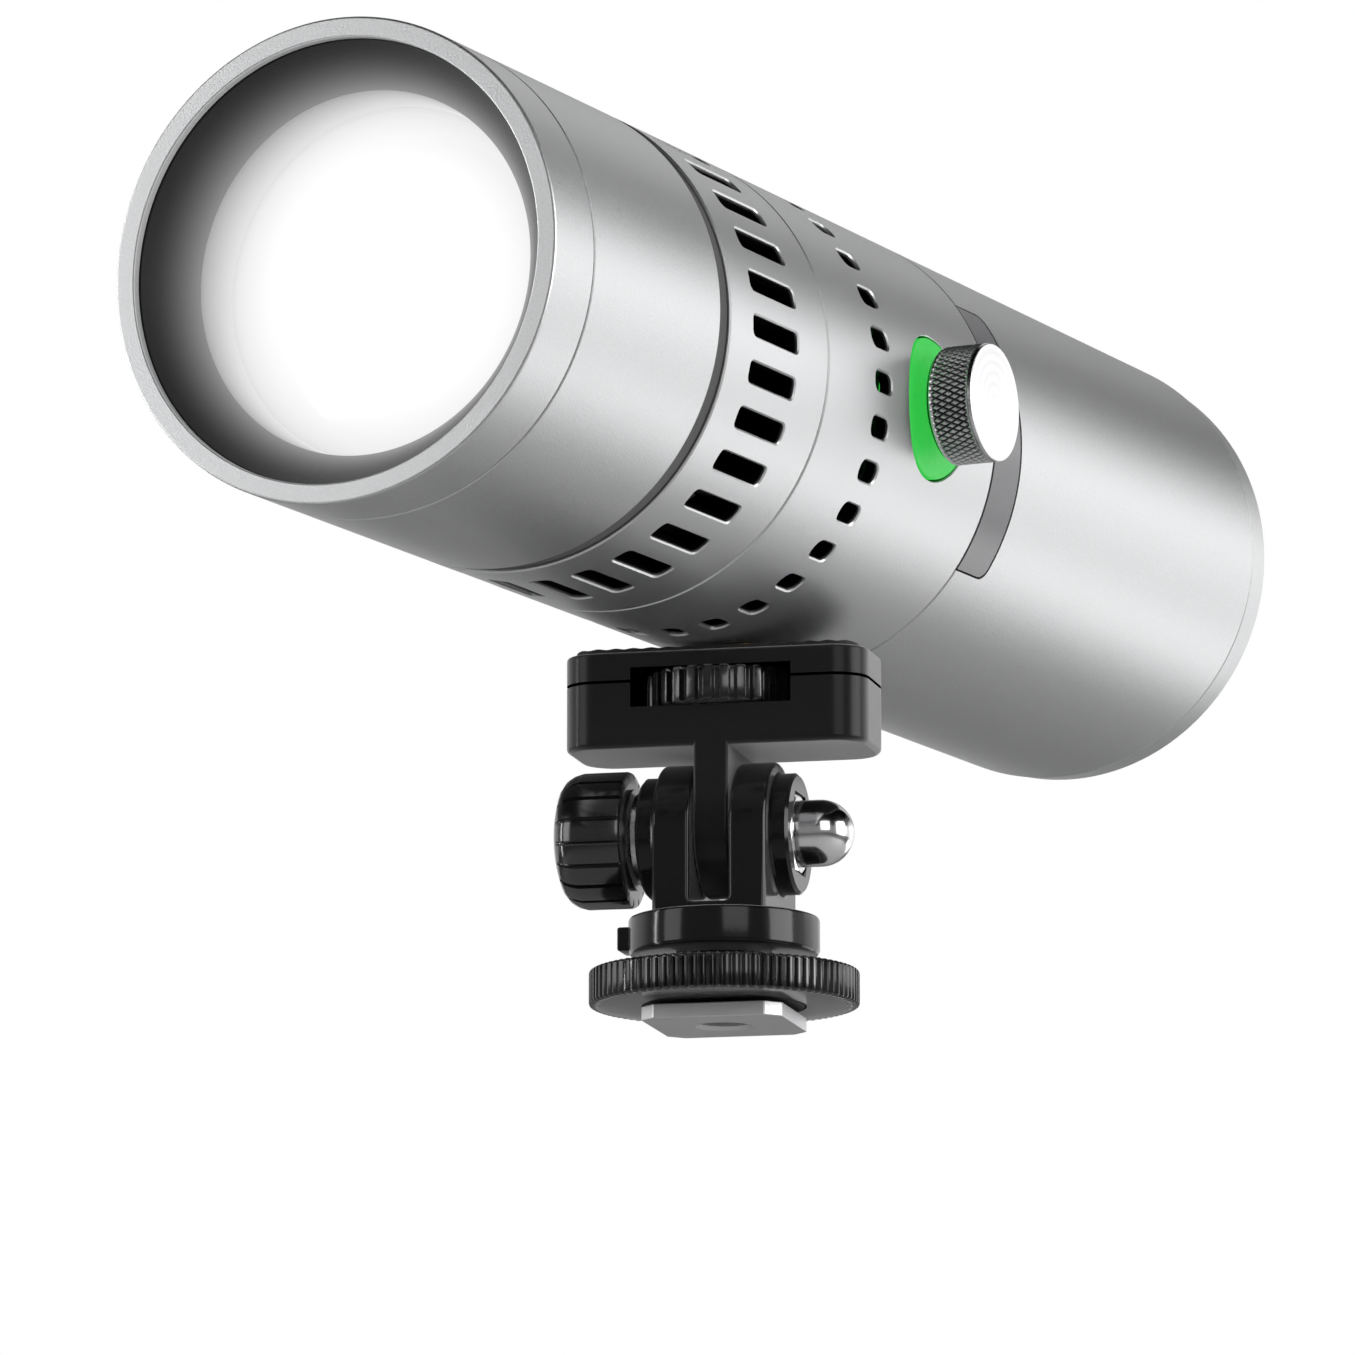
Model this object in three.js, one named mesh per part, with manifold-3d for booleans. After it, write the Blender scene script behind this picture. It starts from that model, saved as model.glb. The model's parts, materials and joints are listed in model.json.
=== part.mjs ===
// Video spotlight: a cylindrical lamp on a tilting shoe bracket.
// Millimetres, +Z up. The origin is the centre of the foot's underside, and the
// lamp's optical axis runs along Y with the lens facing -Y.
import * as THREE from "three";
import { mergeVertices } from "three/addons/utils/BufferGeometryUtils.js";
import Module from "manifold-3d";

const wasm = await Module();
wasm.setup();

// Clearances shared by all pieces
const fitGap = 0.3;
const seamGap = 0.3;
const overrun = 2;

// Lamp shell, from the front face to the rear face
const lampRadius = 30;
const shellWall = 1.8;
const neckWall = 1.6;
const neckReach = 8;
const frontRingLength = 10.4;
const frontBarrelLength = 34.8;
const gasketGrooveWidth = 2.7;
const ventRingLength = 28.7;
const midHousingLength = 51.4;
const rearCasingLength = 87.4;
const rearCapBand = 6;

// Stations along the lamp, measured from its front face
const barrelStart = frontRingLength;
const barrelEnd = barrelStart + frontBarrelLength;
const ventRingStart = barrelEnd + gasketGrooveWidth;
const ventRingEnd = ventRingStart + ventRingLength;
const midHousingEnd = ventRingEnd + midHousingLength;
const rearCasingEnd = midHousingEnd + rearCasingLength;
const lampLength = rearCasingEnd + rearCapBand;

// Radii that the shell pieces share where one slides into the next
const shellBore = lampRadius - shellWall;
const neckRadius = shellBore - fitGap;
const neckBore = neckRadius - neckWall;
const seatRadius = neckBore - fitGap;
const bulkheadRadius = shellBore - fitGap;

// Front ring and hood
const rimWidth = 2.5;
const rimThickness = 1.2;
const rimChamfer = 0.4;
const rimBevel = 0.25;
const hoodFlangeDepth = 4.2;
const hoodDepth = 7.9;
const hoodLip = 3.4;
const hoodWall = 1.3;
const hoodRearRadius = seatRadius - hoodLip;

// Front lens stack
const retainerThickness = 6.8;
const lensInset = 0.5;
const lensEdgeThickness = 2.5;
const lensDomeHeight = 3;
const sealThickness = 0.9;
const sealWidth = 2.2;

// Light engine
const reflectorFlangeThickness = 1.4;
const reflectorWall = 1.2;
const reflectorThroat = 7.8;
const reflectorRimWidth = 3.4;
const reflectorMouth = seatRadius - reflectorRimWidth;
const bowlPowerShare = 0.8;
const chipRadius = 6.6;
const chipThickness = 0.8;
const ledBoardRadius = 15.4;
const ledBoardThickness = 1.6;
const boardScrewCircle = 12.4;
const boardScrewCount = 2;
const boardScrewRadius = 1.1;
const boardScrewHeadRadius = 1.9;
const boardScrewHeadHeight = 1.2;
const boardScrewGrip = 2.4;

// Gasket in its groove
const gasketDrop = 0.45;

// Finned heat sink
const sinkBaseThickness = 4;
const sinkBaseInset = 1.1;
const sinkCoreRadius = 8;
const sinkFinRoom = 1.7;
const sinkFinCount = 24;
const sinkFinThickness = 1;

// Rows of ventilation openings
const ventCount = 32;
const slotLength = 13;
const slotWidth = 2.75;
const slotCorner = 0.65;
const slotInset = 6.75;
const holeLength = 5;
const holeInset = 14.1;

// Fan
const bulkheadThickness = 1.6;
const fanWallGap = 1.16;
const fanCorner = 3;
const fanSide = 2 * ((shellBore - fanWallGap - fanCorner) / Math.SQRT2 + fanCorner);
const fanDepth = 10;
const fanDuctWall = 1.2;
const fanBore = fanSide / 2 - fanDuctWall;
const fanTipGap = 0.6;
const fanHubRadius = 8;
const fanStatorRadius = 7.4;
const fanStatorDepth = 1.4;
const fanStrutWidth = 2;
const fanStrutAngle = 30;
const fanPinRadius = 1;
const fanPinReach = 5.6;
const fanBladeCount = 7;
const fanBladeThickness = 0.9;
const fanBladeChord = 7.4;
const fanBladePitch = 38;
const fanHubDepth = 6.8;
const fanHubFace = 1.3;
const fanScrewInset = 4;
const fanScrewPitch = fanSide - 2 * fanScrewInset;
const fanScrewAngle = 45;
const fanScrewRadius = 1.4;
const fanScrewHeadRadius = 2.6;
const fanScrewHeadHeight = 1.3;

// Control knob, its light ring and the encoder behind it
const knobSetback = 33.8;
const knobStation = ventRingEnd + knobSetback;
const knobRadius = 7.6;
const knobStandoff = 1.35;
const knobHeight = 6.45;
const knobChamfer = 0.5;
const knobCapThickness = 1.6;
const knobTravel = 0.7;
const lightRingRadius = 9.2;
const lightRingRecess = 0.1;
const lightRingDepth = 4.5;
const lightRingSeat = lampRadius - lightRingDepth;
const shaftRadius = 2.4;
const bushWall = 1.1;
const bushLength = 2.6;
const encoderLength = 12.4;
const encoderHeight = 13.2;
const encoderDepth = 6.5;
const encoderSink = 6.3;
const encoderFace = lampRadius - encoderSink;
const encoderBack = encoderFace - encoderDepth;
const plungerThickness = 1.2;
const ringBoardThickness = 1.2;
const ringBoardRadius = 8.8;
const encoderBoardThickness = 1.6;
const encoderBoardLength = 19;
const encoderBoardTop = 12;
const encoderBoardBack = encoderBack - fitGap - encoderBoardThickness;

// Chassis and driver board
const chassisThickness = 2;
const chassisDrop = 10.2;
const chassisSetback = 7.2;
const driverBoardThickness = 1.6;
const driverBoardInset = 1.5;
const driverBoardSideGap = 3.1;
const driverBoardReach = 4.3;
const inductorShare = 0.25;
const capacitorShare = 0.65;
const inductorRadius = 4.2;
const inductorHeight = 5;
const capacitorRadius = 3.1;
const capacitorHeight = 8;

// Threaded insert for the tripod screw
const insertSetback = 31.6;
const insertStation = ventRingEnd + insertSetback;
const insertRadius = 5;
const insertHeight = 10.2;
const insertFlangeRadius = 7;
const insertFlangeThickness = 1.6;
const insertFloor = 1.6;
const insertRecess = 0.15;

// Display strip
const displayWidth = 8.5;
const displayHalfAngle = 36.5;
const displayWindowThickness = 0.95;
const displayRecess = 0.15;
const displayBoardThickness = 0.4;
const displayBoardMargin = 1;

// Battery pack
const cellCount = 3;
const cellSpacing = 0.4;
const cellWallGap = 4.9;
const cellRadius = (shellBore - cellWallGap - (2 * cellSpacing) / Math.sqrt(3)) / (1 + 2 / Math.sqrt(3));
const cellCapRadius = 4.4;
const cellCapHeight = 0.7;
const cradlePlateThickness = 1.8;
const cradleRodRadius = 2;
const cradleRodInset = 8.4;
const cradleRodCircle = bulkheadRadius - cradleRodInset;
const cradleSeatRadius = 4.8;

// Rear cap and charging port
const capPlugLength = 8;
const capTaper = 0.45;
const capEdgeChamfer = 0.6;
const capPlateThickness = 2.2;
const capRimWidth = 2.4;
const capRimHeight = 0.6;
const capScrewInset = 4.4;
const capScrewCount = 3;
const capScrewAngle = 90;
const capScrewRadius = 1.5;
const capScrewHeadRadius = 2.7;
const capScrewHeadHeight = 1.2;
const capScrewGrip = 1.9;
const portLength = 7.5;
const portWidth = 8.9;
const portHeight = 3.2;
const portWall = 0.35;
const portTongueThickness = 0.7;
const portBaseThickness = 0.8;
const portBoardThickness = 1.2;
const portBoardWidth = 18;
const portBoardHeight = 12;

// Bracket stack, from the foot's underside upwards
const footThickness = 1.9;
const shoeGap = 0.7;
const lockRingThickness = 4.6;
const lockRingHeadroom = 1.8;
const baseDiscThickness = 5.1;
const pivotRise = 10.7;
const blockRise = 10.8;
const blockBaseThickness = 8.7;
const blockTopThickness = 3.9;
const padStand = 0.7;
const lockRingBottom = footThickness + shoeGap;
const lockRingTop = lockRingBottom + lockRingThickness;
const discBottom = lockRingTop + lockRingHeadroom;
const discTop = discBottom + baseDiscThickness;
const pivotHeight = discTop + pivotRise;
const blockBottom = pivotHeight + blockRise;
const blockSplit = blockBottom + blockBaseThickness;
const blockTop = blockSplit + blockTopThickness;
const padTop = blockTop + padStand;
const lampAxisHeight = padTop + fitGap + lampRadius;

// Bracket plan and its turn under the lamp in the photographed pose
const bracketYaw = 13;
const blockWidth = 40;
const blockDepth = 16.2;
const blockCorner = 4.6;
const blockEdge = 0.8;
const windowWidth = 21.2;
const windowHeight = 5.2;
const windowRise = 1.8;
const windowTop = blockSplit + windowRise;
const tongueThickness = 4.6;

// Rubber pad
const padMargin = 1;
const padRecess = 1;
const padRibCount = 16;
const padRibHeight = 0.45;
const padRibShares = [[0.5, 1], [0, 0]];

// Thumbwheel and tripod screw
const wheelRadius = 10;
const wheelRibCount = 28;
const wheelRibDepth = 0.6;
const wheelRibAngleShares = [0, 0.4, 0.7];
const wheelRibHeightShares = [1, 1, 0];
const screwRadius = 3.1;
const screwReach = 7.2;
const screwChamfer = 0.6;
const screwHeadRadius = 5.4;
const screwHeadHeight = 1.6;

// Clevis
const clevisWidth = 15;
const earRadius = 9.4;
const collarRadius = 7.9;
const collarHeight = 2.6;
const studRadius = 2.9;
const discRadius = 12.4;
const discChamfer = 0.7;
const stemRadius = 6.6;
const stemFlat = 5.6;
const lugStand = 1.3;
const lugWidth = 5;
const lugRise = 1;
const lugHeight = 3.1;
const lugNotch = 0.9;

// Tilt knob, washer and acorn nut
const washerThickness = 0.8;
const washerRadius = 6;
const tiltKnobRadius = 8.9;
const tiltKnobLength = 9.7;
const tiltKnobDome = 1.6;
const tiltKnobHub = 6.6;
const tiltKnobHubLength = 0.5;
const tiltKnobFluteCount = 18;
const tiltKnobFluteDepth = 0.6;
const fluteAngleShares = [0, 0.68, 0.76, 0.92];
const fluteHeightShares = [1, 1, 0, 0];
const domeFaceShare = 0.55;
const domeRiseShare = 0.3;
const nutAcrossFlats = 10;
const nutCorner = nutAcrossFlats / Math.sqrt(3);
const nutHexHeight = 4.6;
const nutDomeRadius = 4.35;
const nutHeight = 11.7;
const nutPocketDepth = 4.9;
const studGrip = 5.5;

// Lock ring and clamp washer
const lockRingRadius = 17.5;
const lockRingToothCount = 90;
const lockRingToothDepth = 0.55;
const lockToothAngleShares = [0, 0.5];
const lockToothHeightShares = [1, 0];
const lockRingRecessRadius = 10.7;
const lockRingWeb = 2.2;
const clampStand = 0.1;
const clampThickness = 1.9;

// Metal foot
const footWidth = 18.6;
const footCorner = 2;
const footHubRadius = 4.8;
const footHubHeight = 7;
const footSocketRadius = 3.25;
const footSocketFloor = 0.8;
const clampKeyWidth = 4;

// Stations inside the lamp that several pieces share, from front to rear
const sinkBaseStart = barrelEnd + sinkBaseInset;
const sinkBaseEnd = sinkBaseStart + sinkBaseThickness;
const ledBoardEnd = sinkBaseStart - fitGap;
const ledBoardStart = ledBoardEnd - ledBoardThickness;
const sinkFinEnd = ventRingEnd - sinkFinRoom;
const bulkheadStart = ventRingEnd + seamGap / 2 + neckWall + fitGap;
const bulkheadEnd = bulkheadStart + bulkheadThickness;
const fanFrameStart = bulkheadEnd + fitGap;
const fanFrameEnd = fanFrameStart + fanDepth;
const fanScrewEnd = fanFrameEnd + fitGap + fanScrewHeadHeight;
const chassisStart = fanScrewEnd + chassisSetback;
const chassisEnd = midHousingEnd - seamGap / 2 - 2 * neckWall - fitGap;
const rearNeckEnd = midHousingEnd + displayWidth + fitGap;
const cradleStart = rearNeckEnd + fitGap;
const cellStart = cradleStart + cradlePlateThickness + fitGap;
const capFaceStation = lampLength - capRimHeight;
const portStart = capFaceStation - portLength;
const portBoardEnd = portStart - fitGap;
const portBoardStart = portBoardEnd - portBoardThickness;
const cradleEnd = portBoardStart - fitGap;
const cellEnd = cradleEnd - cradlePlateThickness - fitGap;

// Facets around the round pieces; each opening in the shell lies on a facet of its own
const shellFacets = ventCount;
const visibleFacets = 24;
const innerFacets = 16;
const smallFacets = 8;

// Finishes
const finishes = {
  satinAluminium: finish(0xb4b5b7, 0.38, 0.9),
  knurledAluminium: finish(0xc8c9cb, 0.3, 1),
  hoodGrey: finish(0x4c4d50, 0.6, 0.3),
  lensGlass: finish(0xf4f7fa, 0.08, 0),
  reflector: finish(0xe2e4e6, 0.15, 1),
  led: finish(0xf3e27a, 0.5, 0),
  circuitBoard: finish(0x1f4a31, 0.55, 0),
  heatSink: finish(0x2b2c2e, 0.5, 0.7),
  blackPlastic: finish(0x141415, 0.42, 0),
  blackRubber: finish(0x1a1a1a, 0.85, 0),
  greenGlow: finish(0x22d83a, 0.35, 0),
  smokedWindow: finish(0x6a6b6f, 0.2, 0),
  batteryWrap: finish(0x2f6fb0, 0.45, 0),
  brass: finish(0xb58e46, 0.35, 1),
  steel: finish(0x9b9da0, 0.32, 1),
  chrome: finish(0xd9dadc, 0.08, 1),
  footMetal: finish(0xc4c5c6, 0.45, 0.9),
};

/** One plain surface: colour, roughness and metalness. */
function finish(color, roughness, metalness) {
  return new THREE.MeshStandardMaterial({ color, roughness, metalness });
}

/** The geometry with its positions alone, shared vertices joined and empty triangles dropped. */
function closed(geometry) {
  const bare = new THREE.BufferGeometry();
  bare.setAttribute("position", geometry.getAttribute("position").clone());
  if (geometry.index) bare.setIndex(geometry.index.clone());
  const joined = mergeVertices(bare, 1e-4);
  const kept = [];
  const index = joined.index.array;
  for (let i = 0; i < index.length; i += 3) {
    const [a, b, c] = [index[i], index[i + 1], index[i + 2]];
    if (a !== b && b !== c && a !== c) kept.push(a, b, c);
  }
  joined.setIndex(kept);
  return joined;
}

/** A closed geometry as a solid that can be cut and joined. */
function solid(geometry) {
  const body = closed(geometry);
  return new wasm.Manifold(new wasm.Mesh({
    numProp: 3,
    vertProperties: new Float32Array(body.getAttribute("position").array),
    triVerts: new Uint32Array(body.index.array),
  }));
}

/** A cut or joined solid as a geometry again. */
function surface(body) {
  const mesh = body.getMesh();
  const geometry = new THREE.BufferGeometry();
  geometry.setAttribute("position", new THREE.BufferAttribute(new Float32Array(mesh.vertProperties), 3));
  geometry.setIndex(Array.from(mesh.triVerts));
  return geometry;
}

/** The base solid without all the cutters. */
function without(base, cutters) {
  return cutters.reduce((body, cutter) => body.subtract(cutter), base);
}

/** All the solids joined into one. */
function together(bodies) {
  return bodies.reduce((body, other) => body.add(other));
}

/**
 * A profile of [radius, station] points turned about the Y axis; it closes on itself or on the axis.
 * The first flat facet faces +Z.
 */
function turned(profile, facets = shellFacets) {
  const area = profile.reduce((sum, [x, y], i) => {
    const [nextX, nextY] = profile[(i + 1) % profile.length];
    return sum + x * nextY - nextX * y;
  }, 0);
  const points = (area > 0 ? profile : [...profile].reverse()).map(([x, y]) => new THREE.Vector2(x, y));
  const openEnds = points[0].x === 0 && points[points.length - 1].x === 0;
  if (!openEnds) points.push(points[0].clone());
  return new THREE.LatheGeometry(points, facets, Math.PI / facets);
}

/** A plain tube about the Y axis. */
function tube(outer, inner, start, end, facets = shellFacets) {
  return turned([[inner, start], [outer, start], [outer, end], [inner, end]], facets);
}

/** A plain rod about the Y axis. */
function rod(radius, start, end, facets = innerFacets) {
  return turned([[0, start], [radius, start], [radius, end], [0, end]], facets);
}

/** A hexagonal rod about the Y axis, with a flat towards +Z. */
function hexRod(cornerRadius, start, end) {
  return rod(cornerRadius, start, end, 6);
}

/** Turns a piece made about the Y axis so that it stands along Z. */
function upright(geometry) {
  return geometry.rotateX(Math.PI / 2);
}

/** Turns a piece made about the Y axis so that it points along X. */
function sideways(geometry) {
  return geometry.rotateZ(-Math.PI / 2);
}

/** A box given by its lowest and highest corners. */
function box(low, high) {
  const size = high.map((value, i) => value - low[i]);
  const middle = high.map((value, i) => (value + low[i]) / 2);
  return new THREE.BoxGeometry(...size).translate(...middle);
}

/** A rectangle with round corners, centred on its own origin. */
function roundedRectangle(width, height, corner) {
  const x = width / 2 - corner;
  const y = height / 2 - corner;
  const shape = new THREE.Shape();
  shape.absarc(x, y, corner, 0, Math.PI / 2);
  shape.absarc(-x, y, corner, Math.PI / 2, Math.PI);
  shape.absarc(-x, -y, corner, Math.PI, 1.5 * Math.PI);
  shape.absarc(x, -y, corner, 1.5 * Math.PI, 2 * Math.PI);
  return shape;
}

/** A rectangle with straight chamfers at its corners, centred on its own origin. */
function chamferedRectangle(width, height, corner) {
  const x = width / 2;
  const y = height / 2;
  return new THREE.Shape([
    [x, y - corner], [x - corner, y], [corner - x, y], [-x, y - corner],
    [-x, corner - y], [corner - x, -y], [x - corner, -y], [x, corner - y],
  ].map(([px, py]) => new THREE.Vector2(px, py)));
}

/** A toothed outline: one entry of the shares per point, for each tooth. */
function toothedOutline(radius, depth, count, angleShares, heightShares) {
  const points = [];
  for (let i = 0; i < count; i += 1) {
    angleShares.forEach((share, k) => {
      const angle = (2 * Math.PI * (i + share)) / count;
      const reach = radius - depth * (1 - heightShares[k]);
      points.push(new THREE.Vector2(reach * Math.cos(angle), reach * Math.sin(angle)));
    });
  }
  return new THREE.Shape(points);
}

/** The outline of thin fins of even thickness round a core. */
function finOutline(radius, coreRadius, thickness, count) {
  const points = [];
  for (let i = 0; i < count; i += 1) {
    const middle = (2 * Math.PI * i) / count;
    [[coreRadius, -1], [radius, -1], [radius, 1], [coreRadius, 1]].forEach(([reach, side]) => {
      const angle = middle + side * Math.asin(thickness / 2 / reach);
      points.push(new THREE.Vector2(reach * Math.cos(angle), reach * Math.sin(angle)));
    });
  }
  return new THREE.Shape(points);
}

/** A flat shape drawn in X and Y, extruded along Z from one height to another. */
function plate(shape, low, high, curveSegments = 2) {
  const geometry = new THREE.ExtrudeGeometry(shape, { depth: high - low, bevelEnabled: false, curveSegments });
  return geometry.translate(0, 0, low);
}

/** A ring sector about the Y axis, centred on the +X direction. */
function sector(outer, inner, start, end, halfAngle, steps = 8) {
  const half = THREE.MathUtils.degToRad(halfAngle);
  const shape = new THREE.Shape();
  shape.absarc(0, 0, outer, -half, half, false);
  shape.absarc(0, 0, inner, half, -half, true);
  return plate(shape, -end, -start, steps).rotateX(Math.PI / 2);
}

/** A row of corner-cut openings that point outwards all around the lamp. */
function ventCutters(length, width, corner, station) {
  const cutters = [];
  for (let i = 0; i < ventCount; i += 1) {
    const cutter = plate(chamferedRectangle(width, length, corner), neckBore - overrun, lampRadius + overrun);
    cutter.rotateY(Math.PI / 2).translate(0, station, 0).rotateY((2 * Math.PI * i) / ventCount);
    cutters.push(solid(cutter));
  }
  return cutters;
}

/** Copies of a geometry, evenly turned about the Y axis. */
function around(geometry, count, startAngle = 0) {
  return evenAngles(count, startAngle).map((angle) =>
    solid(geometry.clone().rotateY(THREE.MathUtils.degToRad(angle))));
}

/** Adds one named piece to a group. */
function addPiece(group, name, body, material, position = [0, 0, 0]) {
  const geometry = body.isBufferGeometry ? closed(body) : surface(body);
  const mesh = new THREE.Mesh(geometry, material.clone());
  mesh.name = name;
  mesh.position.set(...position);
  group.add(mesh);
  return mesh;
}

/** Adds equal pieces, each turned about the Y axis by its own angle in degrees. */
function addTurned(group, name, geometry, material, angles) {
  angles.forEach((angle, i) => {
    addPiece(group, `${name}_${i + 1}`, geometry.clone(), material).rotation.y = THREE.MathUtils.degToRad(angle);
  });
}

/** The angles in degrees of a number of even steps round the lamp. */
function evenAngles(count, start = 0) {
  return Array.from({ length: count }, (_, i) => start + (360 * i) / count);
}

/** The silver ring at the very front and the dark hood inside it. */
function addFront(lamp) {
  const rimBore = lampRadius - rimWidth;
  const flangeStart = rimThickness + fitGap;
  const flangeEnd = flangeStart + hoodFlangeDepth;
  addPiece(lamp, "front_ring", turned([
    [rimBore, rimThickness], [rimBore, rimBevel], [rimBore + rimBevel, 0],
    [lampRadius - rimChamfer, 0], [lampRadius, rimChamfer],
    [lampRadius, frontRingLength - seamGap / 2], [shellBore, frontRingLength - seamGap / 2],
    [shellBore, rimThickness],
  ]), finishes.satinAluminium);
  addPiece(lamp, "hood_cone", turned([
    [rimBore - fitGap / 2, flangeStart], [neckRadius, flangeStart], [neckRadius, flangeEnd],
    [seatRadius, flangeEnd], [hoodRearRadius + hoodWall, hoodDepth], [hoodRearRadius, hoodDepth],
  ]), finishes.hoodGrey);
}

/** The plain barrel behind the front ring, with a neck at each end, and the gasket in its groove. */
function addBarrel(lamp) {
  const start = barrelStart + seamGap / 2;
  const end = barrelEnd;
  const neckStart = rimThickness + fitGap + hoodFlangeDepth + fitGap;
  const neckEnd = ventRingStart + neckReach - gasketGrooveWidth;
  addPiece(lamp, "front_barrel", turned([
    [neckBore, neckStart], [neckRadius, neckStart], [neckRadius, start], [lampRadius, start],
    [lampRadius, end], [neckRadius, end], [neckRadius, neckEnd], [neckBore, neckEnd],
  ]), finishes.satinAluminium);
  addPiece(lamp, "barrel_gasket", tube(
    lampRadius - gasketDrop, neckRadius + fitGap, barrelEnd + fitGap, ventRingStart - fitGap + seamGap / 2,
  ), finishes.blackRubber);
}

/** The lens with its retaining ring and seal, then the reflector. */
function addOptics(lamp) {
  const retainerStart = hoodDepth + fitGap;
  const retainerEnd = retainerStart + retainerThickness;
  const lensStart = retainerEnd + fitGap;
  const lensEnd = lensStart + lensEdgeThickness;
  const domeRadius = hoodRearRadius - lensInset;
  const apex = lensStart - lensDomeHeight;
  const curvature = (domeRadius ** 2 + lensDomeHeight ** 2) / (2 * lensDomeHeight);
  const domeSteps = 6;
  const dome = Array.from({ length: domeSteps }, (_, i) => {
    const radius = (domeRadius * i) / domeSteps;
    return [radius, apex + curvature - Math.sqrt(curvature ** 2 - radius ** 2)];
  });
  const sealEnd = lensEnd + fitGap + sealThickness;
  const flangeStart = sealEnd + fitGap;
  const flangeEnd = flangeStart + reflectorFlangeThickness;
  addPiece(lamp, "lens_retaining_ring", turned([
    [hoodRearRadius, retainerStart], [seatRadius, retainerStart], [seatRadius, retainerEnd],
    [domeRadius, retainerEnd],
  ], visibleFacets), finishes.reflector);
  addPiece(lamp, "front_lens", turned([
    ...dome, [domeRadius, lensStart], [seatRadius, lensStart], [seatRadius, lensEnd], [0, lensEnd],
  ], visibleFacets), finishes.lensGlass);
  addPiece(lamp, "lens_seal",
    tube(seatRadius, seatRadius - sealWidth, lensEnd + fitGap, sealEnd, innerFacets), finishes.blackRubber);
  const rear = ledBoardStart - fitGap;
  const bowlSteps = 4;
  const bowl = Array.from({ length: bowlSteps + 1 }, (_, i) => {
    const share = i / bowlSteps;
    const radius = reflectorMouth + (reflectorThroat - reflectorMouth) * share ** bowlPowerShare;
    return [radius, flangeStart + (rear - flangeStart) * share];
  });
  const outside = bowl.map(([radius, station]) => [radius + reflectorWall, station])
    .filter(([, station]) => station > flangeEnd).reverse();
  addPiece(lamp, "reflector", turned([
    ...bowl, ...outside, [reflectorMouth + reflectorWall, flangeEnd], [seatRadius, flangeEnd],
    [seatRadius, flangeStart],
  ], innerFacets), finishes.reflector);
}

/** The LED board, its chip and screws, and the finned heat sink behind them. */
function addLightEngine(lamp) {
  const hole = rod(boardScrewRadius + fitGap, ledBoardStart - overrun, sinkBaseStart + boardScrewGrip, smallFacets)
    .translate(boardScrewCircle, 0, 0);
  const holes = around(hole, boardScrewCount);
  addPiece(lamp, "led_board", without(
    solid(rod(ledBoardRadius, ledBoardStart, ledBoardEnd)), holes), finishes.circuitBoard);
  addPiece(lamp, "led_chip",
    rod(chipRadius, ledBoardStart - fitGap - chipThickness, ledBoardStart - fitGap), finishes.led);
  const screw = turned([
    [0, ledBoardStart - fitGap - boardScrewHeadHeight],
    [boardScrewHeadRadius, ledBoardStart - fitGap - boardScrewHeadHeight],
    [boardScrewHeadRadius, ledBoardStart - fitGap], [boardScrewRadius, ledBoardStart - fitGap],
    [boardScrewRadius, sinkBaseStart + boardScrewGrip - fitGap], [0, sinkBaseStart + boardScrewGrip - fitGap],
  ], smallFacets).translate(boardScrewCircle, 0, 0);
  addTurned(lamp, "led_board_screw", screw, finishes.steel, evenAngles(boardScrewCount));

  const fins = plate(finOutline(seatRadius, sinkCoreRadius, sinkFinThickness, sinkFinCount),
    -sinkFinEnd, overrun / 2 - sinkBaseEnd).rotateX(Math.PI / 2);
  const finned = solid(rod(seatRadius, sinkBaseStart, sinkBaseEnd, visibleFacets)).add(solid(fins));
  addPiece(lamp, "heat_sink", without(finned, holes), finishes.heatSink);
}

/** The ring of long cooling slots behind the gasket. */
function addVentRing(lamp) {
  const ring = solid(tube(lampRadius, shellBore, ventRingStart + seamGap / 2, ventRingEnd - seamGap / 2));
  const station = ventRingStart + slotInset + slotLength / 2;
  addPiece(lamp, "vent_ring",
    without(ring, ventCutters(slotLength, slotWidth, slotCorner, station)), finishes.satinAluminium);
}

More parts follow.
